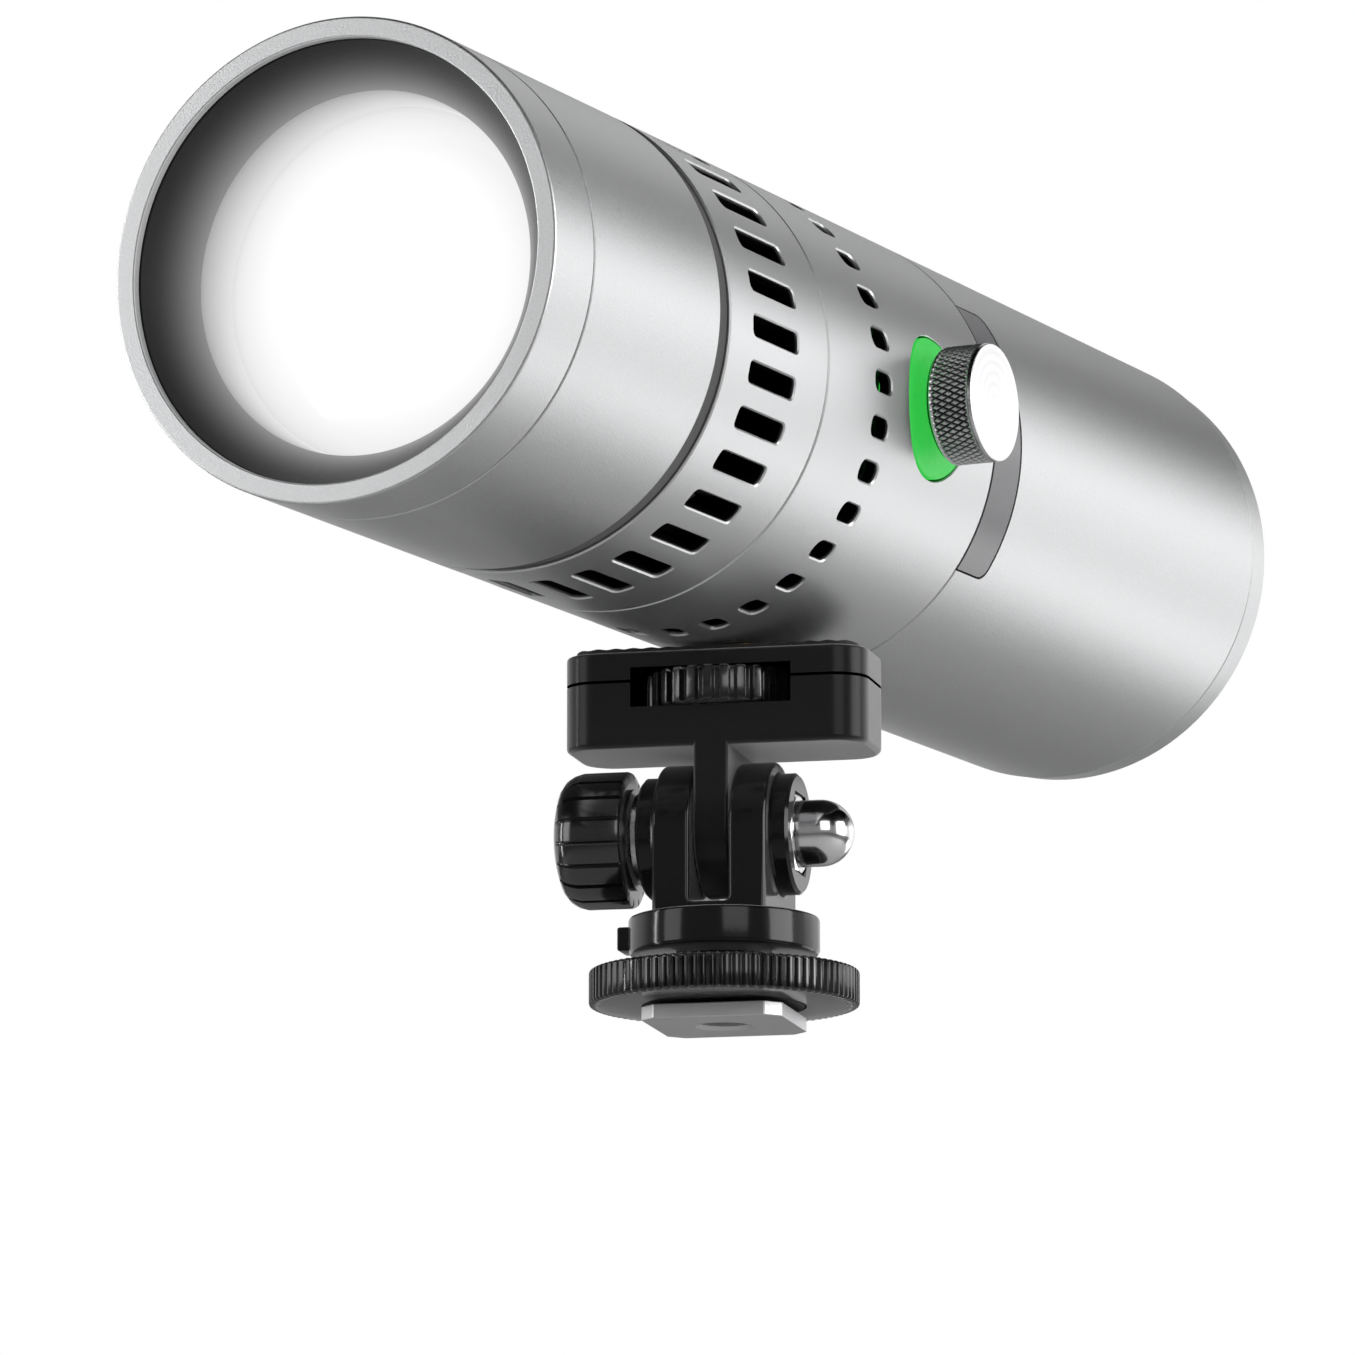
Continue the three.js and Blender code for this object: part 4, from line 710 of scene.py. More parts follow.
class RoundRepeat:
    """A Geometry Nodes tree that repeats a tile evenly about the local Z axis and welds the copies."""

    NAME = "repeat_round_the_axis"
    INPUTS = {"Tile": "Geometry", "Count": "Int", "First Angle": "Float", "Weld Distance": "Float",
              "Finish": "Material"}

    def __init__(self) -> None:
        """Builds the tree once, with named inputs for the count, the first angle and the weld distance."""
        self.tree = bpy.data.node_groups.get(self.NAME)
        if self.tree is None:
            self.tree = bpy.data.node_groups.new(self.NAME, "GeometryNodeTree")
            for name, kind in self.INPUTS.items():
                self.tree.interface.new_socket(name=name, in_out="INPUT", socket_type=f"NodeSocket{kind}")
            self.tree.interface.new_socket(name="Ring", in_out="OUTPUT", socket_type="NodeSocketGeometry")
            self._wire(NodeTree(self.tree))

    @staticmethod
    def _wire(tree: NodeTree) -> None:
        """Adds and joins the tree's nodes."""
        given = tree.add("NodeGroupInput").outputs
        points = tree.add("GeometryNodeMeshLine", {"Count": given["Count"], "Offset": (0.0, 0.0, 0.0)},
                          mode="OFFSET")
        share = tree.math("DIVIDE", tree.add("GeometryNodeInputIndex").outputs[0], given["Count"])
        turn = tree.math("MULTIPLY_ADD", share, TURN, given["First Angle"])
        rotation = tree.add("ShaderNodeCombineXYZ", {"Z": turn})
        place = tree.add("GeometryNodeInstanceOnPoints", {
            "Points": points.outputs["Mesh"], "Instance": given["Tile"], "Rotation": rotation.outputs[0]})
        real = tree.add("GeometryNodeRealizeInstances", {"Geometry": place.outputs["Instances"]})
        weld = tree.add("GeometryNodeMergeByDistance", {
            "Geometry": real.outputs["Geometry"], "Distance": given["Weld Distance"]})
        paint = tree.add("GeometryNodeSetMaterial", {
            "Geometry": weld.outputs["Geometry"], "Material": given["Finish"]})
        tree.add("NodeGroupOutput", {"Ring": paint.outputs["Geometry"]})

    def around(self, tile: Form, count: int, finish: Finish, first_angle: float = 0.0) -> Form:
        """Repeats a tile.

        Args:
            tile: the form to repeat; it becomes the whole ring.
            count: how many copies stand evenly round the axis.
            finish: the finish that Set Material gives the ring.
            first_angle: angle of the first copy, in degrees.

        Returns:
            The same form, with the ring baked into its mesh.
        """
        modifier = tile.object.modifiers.new("repeat", "NODES")
        modifier.node_group = self.tree
        values = {"Count": count, "First Angle": math.radians(first_angle), "Weld Distance": WELD,
                  "Finish": finish.material()}
        for item in self.tree.interface.items_tree:
            if item.in_out == "INPUT" and item.name in values:
                modifier[item.identifier] = values[item.name]
        tile.object.update_tag()
        bpy.context.view_layer.update()
        return tile.bake()


@dataclass
class Sector:
    """One tooth of a ring: a closed profile swept over one pitch, with a relief that repeats.

    Args:
        name: name of the form.
        profile: closed loop of (radius, height, share of the relief taken off the radius).
        count: number of teeth in the whole ring.
        relief: depth in millimetres at a share from 0 to 1 of the pitch.
        columns: steps over one pitch.
    """

    name: str
    profile: Sequence[Place]
    count: int
    relief: Callable[[float], float]
    columns: int

    def form(self) -> Form:
        """Returns the sector's mesh."""
        vertices: List[Place] = []
        rows = len(self.profile)
        for share in (c / self.columns for c in range(self.columns + 1)):
            angle, depth = TURN * share / self.count, self.relief(share)
            for radius, height, weight in self.profile:
                reach = max(0.0, radius - depth * weight)
                vertices.append((reach * math.cos(angle), reach * math.sin(angle), height))
        faces = [[low, low + rows, high + rows, high]
                 for c in range(self.columns) for r in range(rows)
                 for low, high in [(c * rows + r, c * rows + (r + 1) % rows)]]
        return Form(self.name, vertices, faces)

    def ring(self, finish: Finish) -> Form:
        """Returns the whole toothed ring."""
        return RoundRepeat().around(self.form(), self.count, finish).clean(WELD)


@dataclass
class Opening:
    """An opening through a shell, seen as a loop of (arc, station) points around its own middle.

    Args:
        width: width across the shell.
        length: length along the lamp.
        corner: corner radius; half the width and length for a round hole.
    """

    width: float
    length: float
    corner: float

    def at(self, x: float, y: float, grow: float) -> Point:
        """Maps a point on the edge of the square from -1 to 1 to the opening's edge, grown by a distance."""
        half_w, half_l, corner = self.width / 2 + grow, self.length / 2 + grow, self.corner + grow
        px, py = x * half_w, y * half_l
        cx, cy = math.copysign(half_w - corner, px), math.copysign(half_l - corner, py)
        if abs(px) > abs(cx) and abs(py) > abs(cy):
            away = Vector((px - cx, py - cy)).normalized() * corner
            return cx + away.x, cy + away.y
        return px, py


@dataclass
class ShellTile:
    """A rectangle of tube wall with one opening, closed at its ends where they show.

    Args:
        start: first station.
        end: last station.
        half_angle: half of the tile's angle, in radians.
        opening: the opening's outline.
        centre: station of the opening's middle.
        columns: steps across the tile.
        rows: steps along the tile's sides.
        edge: width of the chamfer round the opening and at closed ends.
        closed_start: whether the first end has an end face.
        closed_end: whether the last end has an end face.
        straight: whether the opening's wall runs parallel, as a drilled hole's does, and the rows are even.
    """

    OUTER_LOOPS = (0.4, 0.75)  # shares of the way from the border to the opening, on the outer skin
    INNER_LOOP = 0.5  # the same on the inner skin

    start: float
    end: float
    half_angle: float
    opening: Opening
    centre: float
    columns: int = 8
    rows: int = 16
    edge: float = 0.2
    closed_start: bool = True
    closed_end: bool = True
    straight: bool = False

    def _border(self) -> List[Point]:
        """Points round the square from -1 to 1: along the start, up one side, back along the end and down."""
        across_tile = [-1 + 2 * i / self.columns for i in range(self.columns)]
        along = [-1 + 2 * i / self.rows for i in range(self.rows)]
        if not self.straight:
            along = [math.sin(math.pi / 2 * y) for y in along]
        return ([(x, -1.0) for x in across_tile] + [(1.0, y) for y in along]
                + [(-x, 1.0) for x in across_tile] + [(-1.0, -y) for y in along])

    @staticmethod
    def _on(radius: float, angle: float, station: float) -> Place:
        """A point on a cylinder; angle 0 is the tile's middle."""
        return radius * math.cos(angle), radius * math.sin(angle), station

    def _hole_point(self, x: float, y: float, radius: float, grow: float) -> Place:
        """A point of the opening's edge on a cylinder of some radius."""
        if self.straight:
            angle = math.atan2(y * (self.end - self.start), x * 2 * LAYOUT.radius * self.half_angle)
            reach = self.opening.width / 2 + grow
            aside, along = reach * math.cos(angle), reach * math.sin(angle)
            return self._on(radius, math.asin(aside / radius), self.centre + along)
        aside, along = self.opening.at(x, y, grow)
        return self._on(radius, aside / LAYOUT.radius, self.centre + along)

    def form(self, name: str) -> Form:
        """Returns the tile's mesh, open where its neighbours continue it."""
        outer, inner, border = LAYOUT.radius, LAYOUT.inner, self._border()
        count = len(border)
        low = self.start + (self.edge if self.closed_start else 0.0)
        high = self.end - (self.edge if self.closed_end else 0.0)
        middle, half = (self.start + self.end) / 2, (self.end - self.start) / 2

        def rim(radius: float, first: float, last: float) -> List[Place]:
            """The tile's border on one skin."""
            return [self._on(radius, x * self.half_angle, min(max(middle + y * half, first), last))
                    for x, y in border]

        def hole(radius: float, grow: float) -> List[Place]:
            """The opening's edge on one skin."""
            return [self._hole_point(x, y, radius, grow) for x, y in border]

        def between(a: List[Place], b: List[Place], share: float, radius: float) -> List[Place]:
            """A loop between two others on one skin."""
            return [self._on(radius, (1 - share) * math.atan2(p[1], p[0]) + share * math.atan2(q[1], q[0]),
                             (1 - share) * p[2] + share * q[2]) for p, q in zip(a, b)]

        outer_rim, inner_rim = rim(outer, low, high), rim(inner, self.start, self.end)
        lip, inner_edge = hole(outer, self.edge), hole(inner, 0.0)
        loops = [outer_rim, *(between(outer_rim, lip, share, outer) for share in self.OUTER_LOOPS), lip,
                 hole(outer - self.edge, 0.0), inner_edge,
                 between(inner_rim, inner_edge, self.INNER_LOOP, inner), inner_rim]
        vertices = [v for loop in loops for v in loop]
        faces = Shapes.skin(len(loops), count)
        last = (len(loops) - 1) * count
        for closed, first, station in ((self.closed_start, 0, self.start),
                                       (self.closed_end, count // 2, self.end)):
            if not closed:
                continue
            ids = list(range(len(vertices), len(vertices) + self.columns + 1))
            vertices += [self._on(outer - self.edge, border[(first + i) % count][0] * self.half_angle, station)
                         for i in range(self.columns + 1)]
            for i in range(self.columns):
                a, b = (first + i) % count, (first + i + 1) % count
                faces += [[a, b, ids[i + 1], ids[i]], [ids[i], ids[i + 1], last + b, last + a]]
        return Form(name, vertices, faces)


class Assembly:
    """A sub-assembly: it shapes its pieces, sets them in and reports each one."""

    body = "base"
    axis = Axis.LAMP

    def add(self, form: Form, finish: Finish, *nodes: str, axis: Optional[Axis] = None,
            body: Optional[str] = None) -> bpy.types.Object:
        """Sets a form in as a piece that rides on its body and stands for CAD nodes.

        Args:
            form: the finished form.
            finish: the piece's finish.
            nodes: the CAD nodes that it replaces.
            axis: the axis that it was shaped about, where it isn't the assembly's own.
            body: its body, where it isn't the assembly's own.

        Returns:
            The piece.
        """
        piece = form.set_in(axis or self.axis, finish)
        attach(piece, body or self.body)
        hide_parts(*nodes)
        LOG.info("%s: %d faces", piece.name, len(piece.data.polygons))
        return piece


@dataclass
class FrontHead(Assembly):
    """The silver front ring, the hood, the lens and the plain barrel behind them.

    Stations are measured along the lamp from its front face. The seat is the outer radius of the lens and of
    what holds it. The neck is the barrel's inner sleeve, given by its inner and outer radius, which the front
    ring and the vent ring slide over.
    """

    body: str = "lamp"
    ring_end: float = 10.25
    rim_width: float = 2.5
    rim_depth: float = 1.2
    flange_start: float = 1.5
    flange_end: float = 5.7
    hood_end: float = 7.9
    hood_rear: float = 22.6
    hood_wall: float = 1.3
    seat: float = 26.0
    lens_reach: float = 22.1
    lens_start: float = 15.3
    lens_end: float = 17.8
    lens_apex: float = 12.3
    neck: Point = (26.3, 27.9)
    neck_start: float = 6.0
    neck_end: float = 53.2
    barrel_start: float = 10.55
    barrel_end: float = 45.2
    gasket_outer: float = 29.55
    gasket_inner: float = 28.2
    gasket_end: float = 48.05
    clearance: float = 0.1

    def build(self) -> None:
        """Makes every piece of the front."""
        self.ring()
        self.hood()
        self.lens()
        self.barrel()

    def ring(self) -> None:
        """The front ring with its bright grained rim."""
        r, bore, edge = LAYOUT.radius, LAYOUT.radius - self.rim_width, LAYOUT.edge
        shell = Shapes.turned("front_ring_shell", [
            (bore, self.rim_depth), (bore, 0.2), (bore + 0.06, 0.06), (bore + 0.2, 0.0), (r - 0.3, 0.0),
            (r - 0.09, 0.09), (r, 0.3), (r, self.ring_end - edge), (r - edge, self.ring_end),
            (LAYOUT.inner, self.ring_end), (LAYOUT.inner, self.rim_depth)], 256)
        self.add(shell.shade_round(), Finishes.SATIN, "front_ring")

    def hood(self) -> None:
        """The dark funnel between the rim and the lens, and the ring that holds the lens; both carry painted
        light.
        """
        r, outer = LAYOUT.radius - self.rim_width - 0.15, LAYOUT.inner - 0.3
        steps = 8
        wall = [(r + (self.hood_rear - r) * k / steps,
                 self.flange_start + (self.hood_end - self.flange_start) * k / steps) for k in range(steps + 1)]
        hood = Shapes.turned("hood_funnel", wall + [
            (self.hood_rear + self.hood_wall, self.hood_end), (self.seat, self.flange_end),
            (outer, self.flange_end), (outer, self.flange_start)], 192)
        self.add(hood.shade(), Finishes.HOOD, "hood_cone")
        start, end = self.hood_end + self.clearance, self.lens_start - self.clearance
        holder = self.seat - self.clearance
        ring = Shapes.turned("lens_retainer", [
            (self.hood_rear, start), (holder, start), (holder, end), (self.lens_reach, end)], 192)
        self.add(ring.shade(), Finishes.BEZEL, "lens_retaining_ring")

    def lens(self) -> None:
        """The domed lens, lit from behind."""
        reach, rise, steps = self.lens_reach, self.lens_start - self.lens_apex, 24
        curve = (reach ** 2 + rise ** 2) / (2 * rise)
        dome = [(radius, self.lens_apex + curve - math.sqrt(curve ** 2 - radius ** 2))
                for radius in (reach * k / steps for k in range(steps + 1))]
        lens = Shapes.turned("lens_dome", dome + [(self.seat, self.lens_start), (self.seat, self.lens_end),
                                                  (0.0, self.lens_end)], 192)
        self.add(lens.shade(), Finishes.LENS, "front_lens")

    def barrel(self) -> None:
        """The plain barrel and the gasket in the groove behind it."""
        r, edge, (inner, outer) = LAYOUT.radius, LAYOUT.edge, self.neck
        barrel = Shapes.turned("front_barrel_shell", [
            (inner, self.neck_start), (outer, self.neck_start), (outer, self.barrel_start),
            (r - edge, self.barrel_start), (r, self.barrel_start + edge), (r, self.barrel_end - 0.2),
            (r - 0.2, self.barrel_end), (outer, self.barrel_end), (outer, self.neck_end),
            (inner, self.neck_end)], 256)
        self.add(barrel.shade_round(), Finishes.SATIN, "front_barrel")
        gasket = Shapes.tube("groove_gasket", self.gasket_outer, self.gasket_inner, self.barrel_end + edge,
                             self.gasket_end, 192, edge)
        self.add(gasket.shade_round(), Finishes.GASKET, "barrel_gasket")


@dataclass
class CoolingSection(Assembly):
    """The slotted ring, the finned heat sink behind it and the middle housing.

    The patch is the stretch of the housing's wall that holds the knob's opening on one side and the tripod
    insert's below. The fin root is how far a fin runs into the sink's core and into its base.
    """

    body: str = "lamp"
    vent_count: int = 32
    first_vent: float = 90.0
    ring_start: float = 48.05
    ring_end: float = 76.45
    slot: Opening = field(default_factory=lambda: Opening(2.75, 13.0, 0.85))
    slot_centre: float = 61.15
    housing_start: float = 76.75
    housing_end: float = 127.85
    hole: Opening = field(default_factory=lambda: Opening(2.75, 5.0, 1.15))
    hole_centre: float = 93.2
    hole_ring_end: float = 98.0
    patch_start: float = 99.0
    patch_end: float = 121.8
    patch_edge: float = 0.12
    knob_opening: float = 9.5
    insert_opening: float = 5.3
    fin_count: int = 24
    fin_thickness: float = 1.0
    fin_root: Point = (1.0, 0.5)
    fin_start: float = 50.3
    fin_end: float = 74.9
    sink_start: float = 46.3
    sink_radius: float = 26.0
    core_radius: float = 8.0

    def build(self) -> None:
        """Makes every piece of the section."""
        self.vent_ring()
        self.housing()
        self.heat_sink()

    def _perforated(self, name: str, start: float, end: float, opening: Opening, centre: float,
                    closed_end: bool) -> Form:
        """A ring of evenly spaced openings."""
        tile = ShellTile(start, end, math.pi / self.vent_count, opening, centre, closed_end=closed_end)
        return RoundRepeat().around(tile.form(name), self.vent_count, Finishes.VENTED, self.first_vent)

    def vent_ring(self) -> None:
        """The ring of long slots."""
        ring = self._perforated("slotted_ring", self.ring_start, self.ring_end, self.slot, self.slot_centre,
                                True)
        self.add(ring.clean(WELD).shade_round(), Finishes.VENTED, "vent_ring")

    def housing(self) -> None:
        """The middle housing: a row of small holes, then the wall with the knob's opening."""
        row = self._perforated("middle_housing", self.housing_start, self.hole_ring_end, self.hole,
                               self.hole_centre, False)
        row.merge(self._wall()).clean(WELD)
        self.add(row.shade_round(), Finishes.VENTED, "mid_housing")

    def _wall(self) -> Form:
        """The plain part of the housing, with a round opening for the knob's ring and one for the insert."""
        r, inner, edge = LAYOUT.radius, LAYOUT.inner, LAYOUT.edge
        columns, half_columns, rows = 256, 16, 16
        knob_column, insert_column = columns // 4, columns // 2
        inside = [self.patch_start + (self.patch_end - self.patch_start) * k / rows for k in range(rows + 1)]
        stations = [self.hole_ring_end] + inside + [self.housing_end - edge]
        loop = ([(r, s) for s in stations] + [(r - edge, self.housing_end), (inner, self.housing_end)]
                + [(inner, s) for s in stations[:-1][::-1]])
        vertices, faces = [], []
        for c in range(columns):
            angle = TURN * c / columns
            vertices += [(radius * math.cos(angle), radius * math.sin(angle), s) for radius, s in loop]
        size = len(loop)
        open_rows = set(range(1, 1 + rows)) | set(range(size - 1 - rows, size - 1))
        holes = {c for middle in (knob_column, insert_column)
                 for c in range(middle - half_columns, middle + half_columns)}
        for c in range(columns):
            n = (c + 1) % columns
            faces += [[c * size + k, n * size + k, n * size + k + 1, c * size + k + 1]
                      for k in range(size - 1) if c not in holes or k not in open_rows]
        patches = []
        for middle, radius, station in ((knob_column, self.knob_opening, LAYOUT.knob_station),
                                        (insert_column, self.insert_opening, LAYOUT.front)):
            tile = ShellTile(self.patch_start, self.patch_end, TURN * half_columns / columns,
                             Opening(2 * radius, 2 * radius, radius), station, columns=2 * half_columns,
                             rows=rows, edge=self.patch_edge, closed_start=False, closed_end=False,
                             straight=True)
            patches.append(tile.form("patch").move(Matrix.Rotation(TURN * middle / columns, 4, "Z")))
        return Form("middle_wall", vertices, faces).merge(*patches)

    def heat_sink(self) -> None:
        """The round base and the thin fins that show through the slots."""
        sink = Shapes.turned("finned_sink", [
            (0, self.sink_start), (self.sink_radius, self.sink_start), (self.sink_radius, self.fin_start),
            (self.core_radius, self.fin_start), (self.core_radius, self.fin_end), (0, self.fin_end)], 96)
        half, (inward, downward) = self.fin_thickness / 2, self.fin_root
        fin = Shapes.block("fin", (self.core_radius - inward, -half, self.fin_start - downward),
                           (self.sink_radius, half, self.fin_end))
        sink.merge(RoundRepeat().around(fin, self.fin_count, Finishes.HEAT_SINK, self.first_vent))
        self.add(sink.shade(weighted=False), Finishes.HEAT_SINK, "heat_sink")


@dataclass
class Controls(Assembly):
    """The knurled knob in its lit ring, and the display strip.

    Knob heights and the ring's back are distances from the lamp's axis. The knob side is how far the knurled
    side starts above the knob's base and ends below its face. The knurl flat is how flat the diamonds' tops
    are. The ring levels are the radii where the light ring's skin follows the housing. The strip skin is the
    strip's outer and inner radius.
    """

    body: str = "lamp"
    axis: Axis = Axis.KNOB
    knob_radius: float = 7.7
    knob_low: float = 31.35
    knob_high: float = 37.8
    knob_bore: float = 2.7
    knob_roof: float = 1.4
    knob_side: Point = (0.55, 0.6)
    knurl_count: int = 56
    knurl_rows: int = 3
    knurl_columns: int = 8
    knurl_steps: int = 14
    knurl_depth: float = 0.32
    knurl_flat: float = 0.6
    ring_radius: float = 9.2
    ring_bore: float = 4.1
    ring_levels: Tuple[float, ...] = (4.1, 5.5, 7.0, 8.2, 9.1)
    ring_edge: float = 0.1
    ring_drop: float = 0.05
    ring_back: float = 25.5
    strip_start: float = 128.45
    strip_end: float = 136.2
    strip_half_angle: float = 36.0
    strip_corner: float = 1.5
    strip_skin: Point = (29.9, 28.9)

    def build(self) -> None:
        """Makes the knob, its ring and the strip."""
        self.knob()
        self.light_ring()
        self.strip()

    def knob(self) -> None:
        """The knob: a diamond-knurled side and a spun face, on two pieces of its one body."""
        columns, rows = self.knurl_count * self.knurl_columns, self.knurl_rows * self.knurl_steps
        low, high = self.knob_low + self.knob_side[0], self.knob_high - self.knob_side[1]
        reach = self.knob_radius
        vertices: List[Place] = []
        for k in range(rows + 1):
            fade = min(1.0, self.knurl_steps * k / rows, self.knurl_steps * (rows - k) / rows)
            climb = self.knurl_rows * k / rows
            for c, (x, y, z) in enumerate(Shapes.circle(1.0, low + (high - low) * k / rows, columns)):
                turn = self.knurl_count * c / columns
                ridges = [abs((lean % 1.0) - 0.5) * 2 for lean in (turn + climb, turn - climb)]
                groove = max(0.0, max(ridges) * (1 + self.knurl_flat) - self.knurl_flat)
                radius = reach - self.knurl_depth * groove * fade
                vertices.append((radius * x, radius * y, z))
        for radius, height in ((self.knob_bore, high), (self.knob_bore, self.knob_high - self.knob_roof),
                               (self.knob_bore, self.knob_low), (reach - 0.5, self.knob_low)):
            vertices += Shapes.circle(radius, height, columns)
        side = Form("knob_knurled_side", vertices, Shapes.skin(rows + 5, columns, closed=True))
        self.add(side.shade(28.0, weighted=False), Finishes.KNURL, "control_knob", body="knob")
        base, bore = high + 0.02, self.knob_bore - 0.1
        face = Shapes.turned("knob_spun_face", [
            (0, high - 0.7), (bore, high - 0.7), (bore, base), (reach - 0.1, base), (reach, high + 0.1),
            (reach, self.knob_high - 0.22), (reach - 0.06, self.knob_high - 0.07),
            (reach - 0.2, self.knob_high), (0, self.knob_high)], 160)
        self.add(face.shade(), Finishes.SPUN, "control_knob", body="knob")

    def light_ring(self) -> None:
        """The lit ring, flush with the round housing."""
        skin, columns = LAYOUT.radius - self.ring_drop, 128
        levels = [(reach, 0.0) for reach in self.ring_levels] + [(self.ring_radius, self.ring_edge)]
        vertices: List[Place] = []
        for reach, drop in levels:
            vertices += [(x, y, math.sqrt(skin ** 2 - y ** 2) - drop)
                         for x, y, _ in Shapes.circle(reach, 0.0, columns)]
        for reach in (self.ring_radius, self.ring_bore):
            vertices += Shapes.circle(reach, self.ring_back, columns)
        ring = Form("lit_ring", vertices, Shapes.skin(len(levels) + 2, columns, closed=True))
        self.add(ring.shade(), Finishes.GREEN, "light_ring")

    @staticmethod
    def curved_strip(name: str, half_angle: float, start: float, end: float, corner: float, outer: float,
                     inner: float) -> Form:
        """A curved plate about the lamp's axis, towards the knob, with its rear corners rounded.

        Args:
            name: name of the form.
            half_angle: half of the angle that it spans, in degrees.
            start: station of its front edge.
            end: station of its rear edge.
            corner: radius of its rear corners.
            outer: outer radius.
            inner: inner radius.

        Returns:
            The plate.
        """
        corner_steps, steps, rows = 6, 40, 4
        sides = [half_angle - math.degrees(corner * (1 - math.cos(math.pi / 2 * k / corner_steps))) / outer
                 for k in range(corner_steps + 1)]
        inside = sides.pop()
        angles = sides + [inside * (1 - 2 * k / steps) for k in range(steps + 1)] + [-a for a in sides[::-1]]
        vertices, faces = [], []
        for angle in angles:
            into = min(corner, math.radians(half_angle - abs(angle)) * outer)
            last = end - corner + math.sqrt(max(0.0, corner ** 2 - (corner - into) ** 2))
            turn = math.radians(90.0 + angle)
            vertices += [(radius * math.cos(turn), radius * math.sin(turn), start + (last - start) * k / rows)
                         for radius in (outer, inner) for k in range(rows + 1)]
        size = 2 * (rows + 1)
        loop = list(range(rows + 1)) + list(range(size - 1, rows, -1))
        for a in range(0, (len(angles) - 1) * size, size):
            faces += [[a + p, a + q, a + size + q, a + size + p] for p, q in zip(loop, loop[1:] + loop[:1])]
        for a in (0, (len(angles) - 1) * size):
            faces += [[a + k, a + k + 1, a + rows + 2 + k, a + rows + 1 + k] for k in range(rows)]
        return Form(name, vertices, faces)

    def strip(self) -> None:
        """The smoked display window, flush with the housing."""
        window = self.curved_strip("display_strip", self.strip_half_angle, self.strip_start, self.strip_end,
                                   self.strip_corner, *self.strip_skin)
        self.add(window.shade_round(), Finishes.WINDOW, "display_window", axis=Axis.LAMP)


@dataclass
class RearSection(Assembly):
    """The long rear casing, its cap and the charging port.

    The bands are stations that keep the casing's long faces short. The cap tapers from its band to its rear
    radius, and its flat face lies the face depth inside its rim. The port is its opening's width and length.
    """

    body: str = "lamp"
    start: float = 128.15
    end: float = 215.25
    bands: Tuple[float, ...] = (132.0, 137.5, 145.0, 165.0, 190.0)
    notch_half_angle: float = 36.5
    notch_end: float = 136.45
    notch_corner: float = 1.7
    cap_start: float = 215.55
    cap_end: float = 221.4
    cap_band: float = 29.875
    cap_rear: float = 29.425
    cap_inner: float = 26.3
    cap_neck: float = 27.9
    cap_neck_length: float = 8.0
    face_depth: float = 0.6
    face_wall: float = 2.2
    port: Point = (3.8, 9.5)
    port_corner: float = 1.85
    screw_circle: float = 22.0
    screw_count: int = 3
    screw_head: float = 2.7
    screw_shank: float = 1.5
    screw_socket: float = 1.3
    screw_room: float = 0.3
    head_sink: float = 1.5
    shank_sink: float = 4.0

    def build(self) -> None:
        """Makes the casing, the cap and its screws."""
        self.casing()
        self.cap()

    def casing(self) -> None:
        """The casing with the notch for the display strip."""
        r, inner, edge = LAYOUT.radius, LAYOUT.inner, LAYOUT.edge
        stations = [self.start + edge, *self.bands, self.end - edge]
        shell = Shapes.turned("rear_shell", [(inner, self.start), (r - edge, self.start)]
                              + [(r, s) for s in stations] + [(r - edge, self.end), (inner, self.end)], 256)
        shell.cut(Controls.curved_strip("notch", self.notch_half_angle, self.start - 3.0, self.notch_end,
                                        self.notch_corner, r + 4.0, inner - 3.0))
        self.add(shell.shade_round(0.9), Finishes.SATIN, "rear_casing")

    def cap(self) -> None:
        """The rear cap with three sunk screws and the port's opening."""
        band, rear, edge = self.cap_band, self.cap_rear, LAYOUT.edge
        face, neck_start = self.cap_end - self.face_depth, self.cap_start - self.cap_neck_length
        shell = Shapes.turned("rear_cap_shell", [
            (self.cap_inner, neck_start), (self.cap_neck, neck_start), (self.cap_neck, self.cap_start),
            (band - edge, self.cap_start), (band, self.cap_start + edge), (rear, face),
            (rear - 0.18, self.cap_end - 0.18), (rear - 0.6, self.cap_end), (rear - 2.8, self.cap_end),
            (rear - 3.0, self.cap_end - 0.2), (rear - 3.1, face), (0, face), (0, face - self.face_wall),
            (self.cap_inner, face - self.face_wall)], 256)
        for place in Shapes.circle(self.screw_circle, 0.0, 4 * self.screw_count)[self.screw_count::4]:
            for radius, depth in ((self.screw_head, self.head_sink), (self.screw_shank, self.shank_sink)):
                sink = Shapes.rod("sink", radius + self.screw_room, face - depth, face + 1.0, 48)
                shell.cut(sink.move(Matrix.Translation(place)))
        shell.cut(Shapes.prism("port", Shapes.rounded(*self.port, self.port_corner), face - 4.0, face + 1.0))
        self.add(shell.shade(28.0), Finishes.SATIN, "rear_cap")
        shank, head, socket = self.screw_shank, self.screw_head, self.screw_socket
        screw = Shapes.turned("cap_screws", [
            (0, face - 3.1), (shank, face - 3.1), (shank, face - 1.2), (head, face - 1.2), (head, face - 0.25),
            (head - 0.2, face - 0.02), (socket, face - 0.02), (socket - 0.1, face - 0.9), (0, face - 0.9)], 48)
        screw.move(Matrix.Translation((self.screw_circle, 0.0, 0.0)))
        screws = RoundRepeat().around(screw, self.screw_count, Finishes.STEEL, 90.0)
        self.add(screws.shade(), Finishes.STEEL, *[f"rear_cap_screw_{k + 1}" for k in range(self.screw_count)])


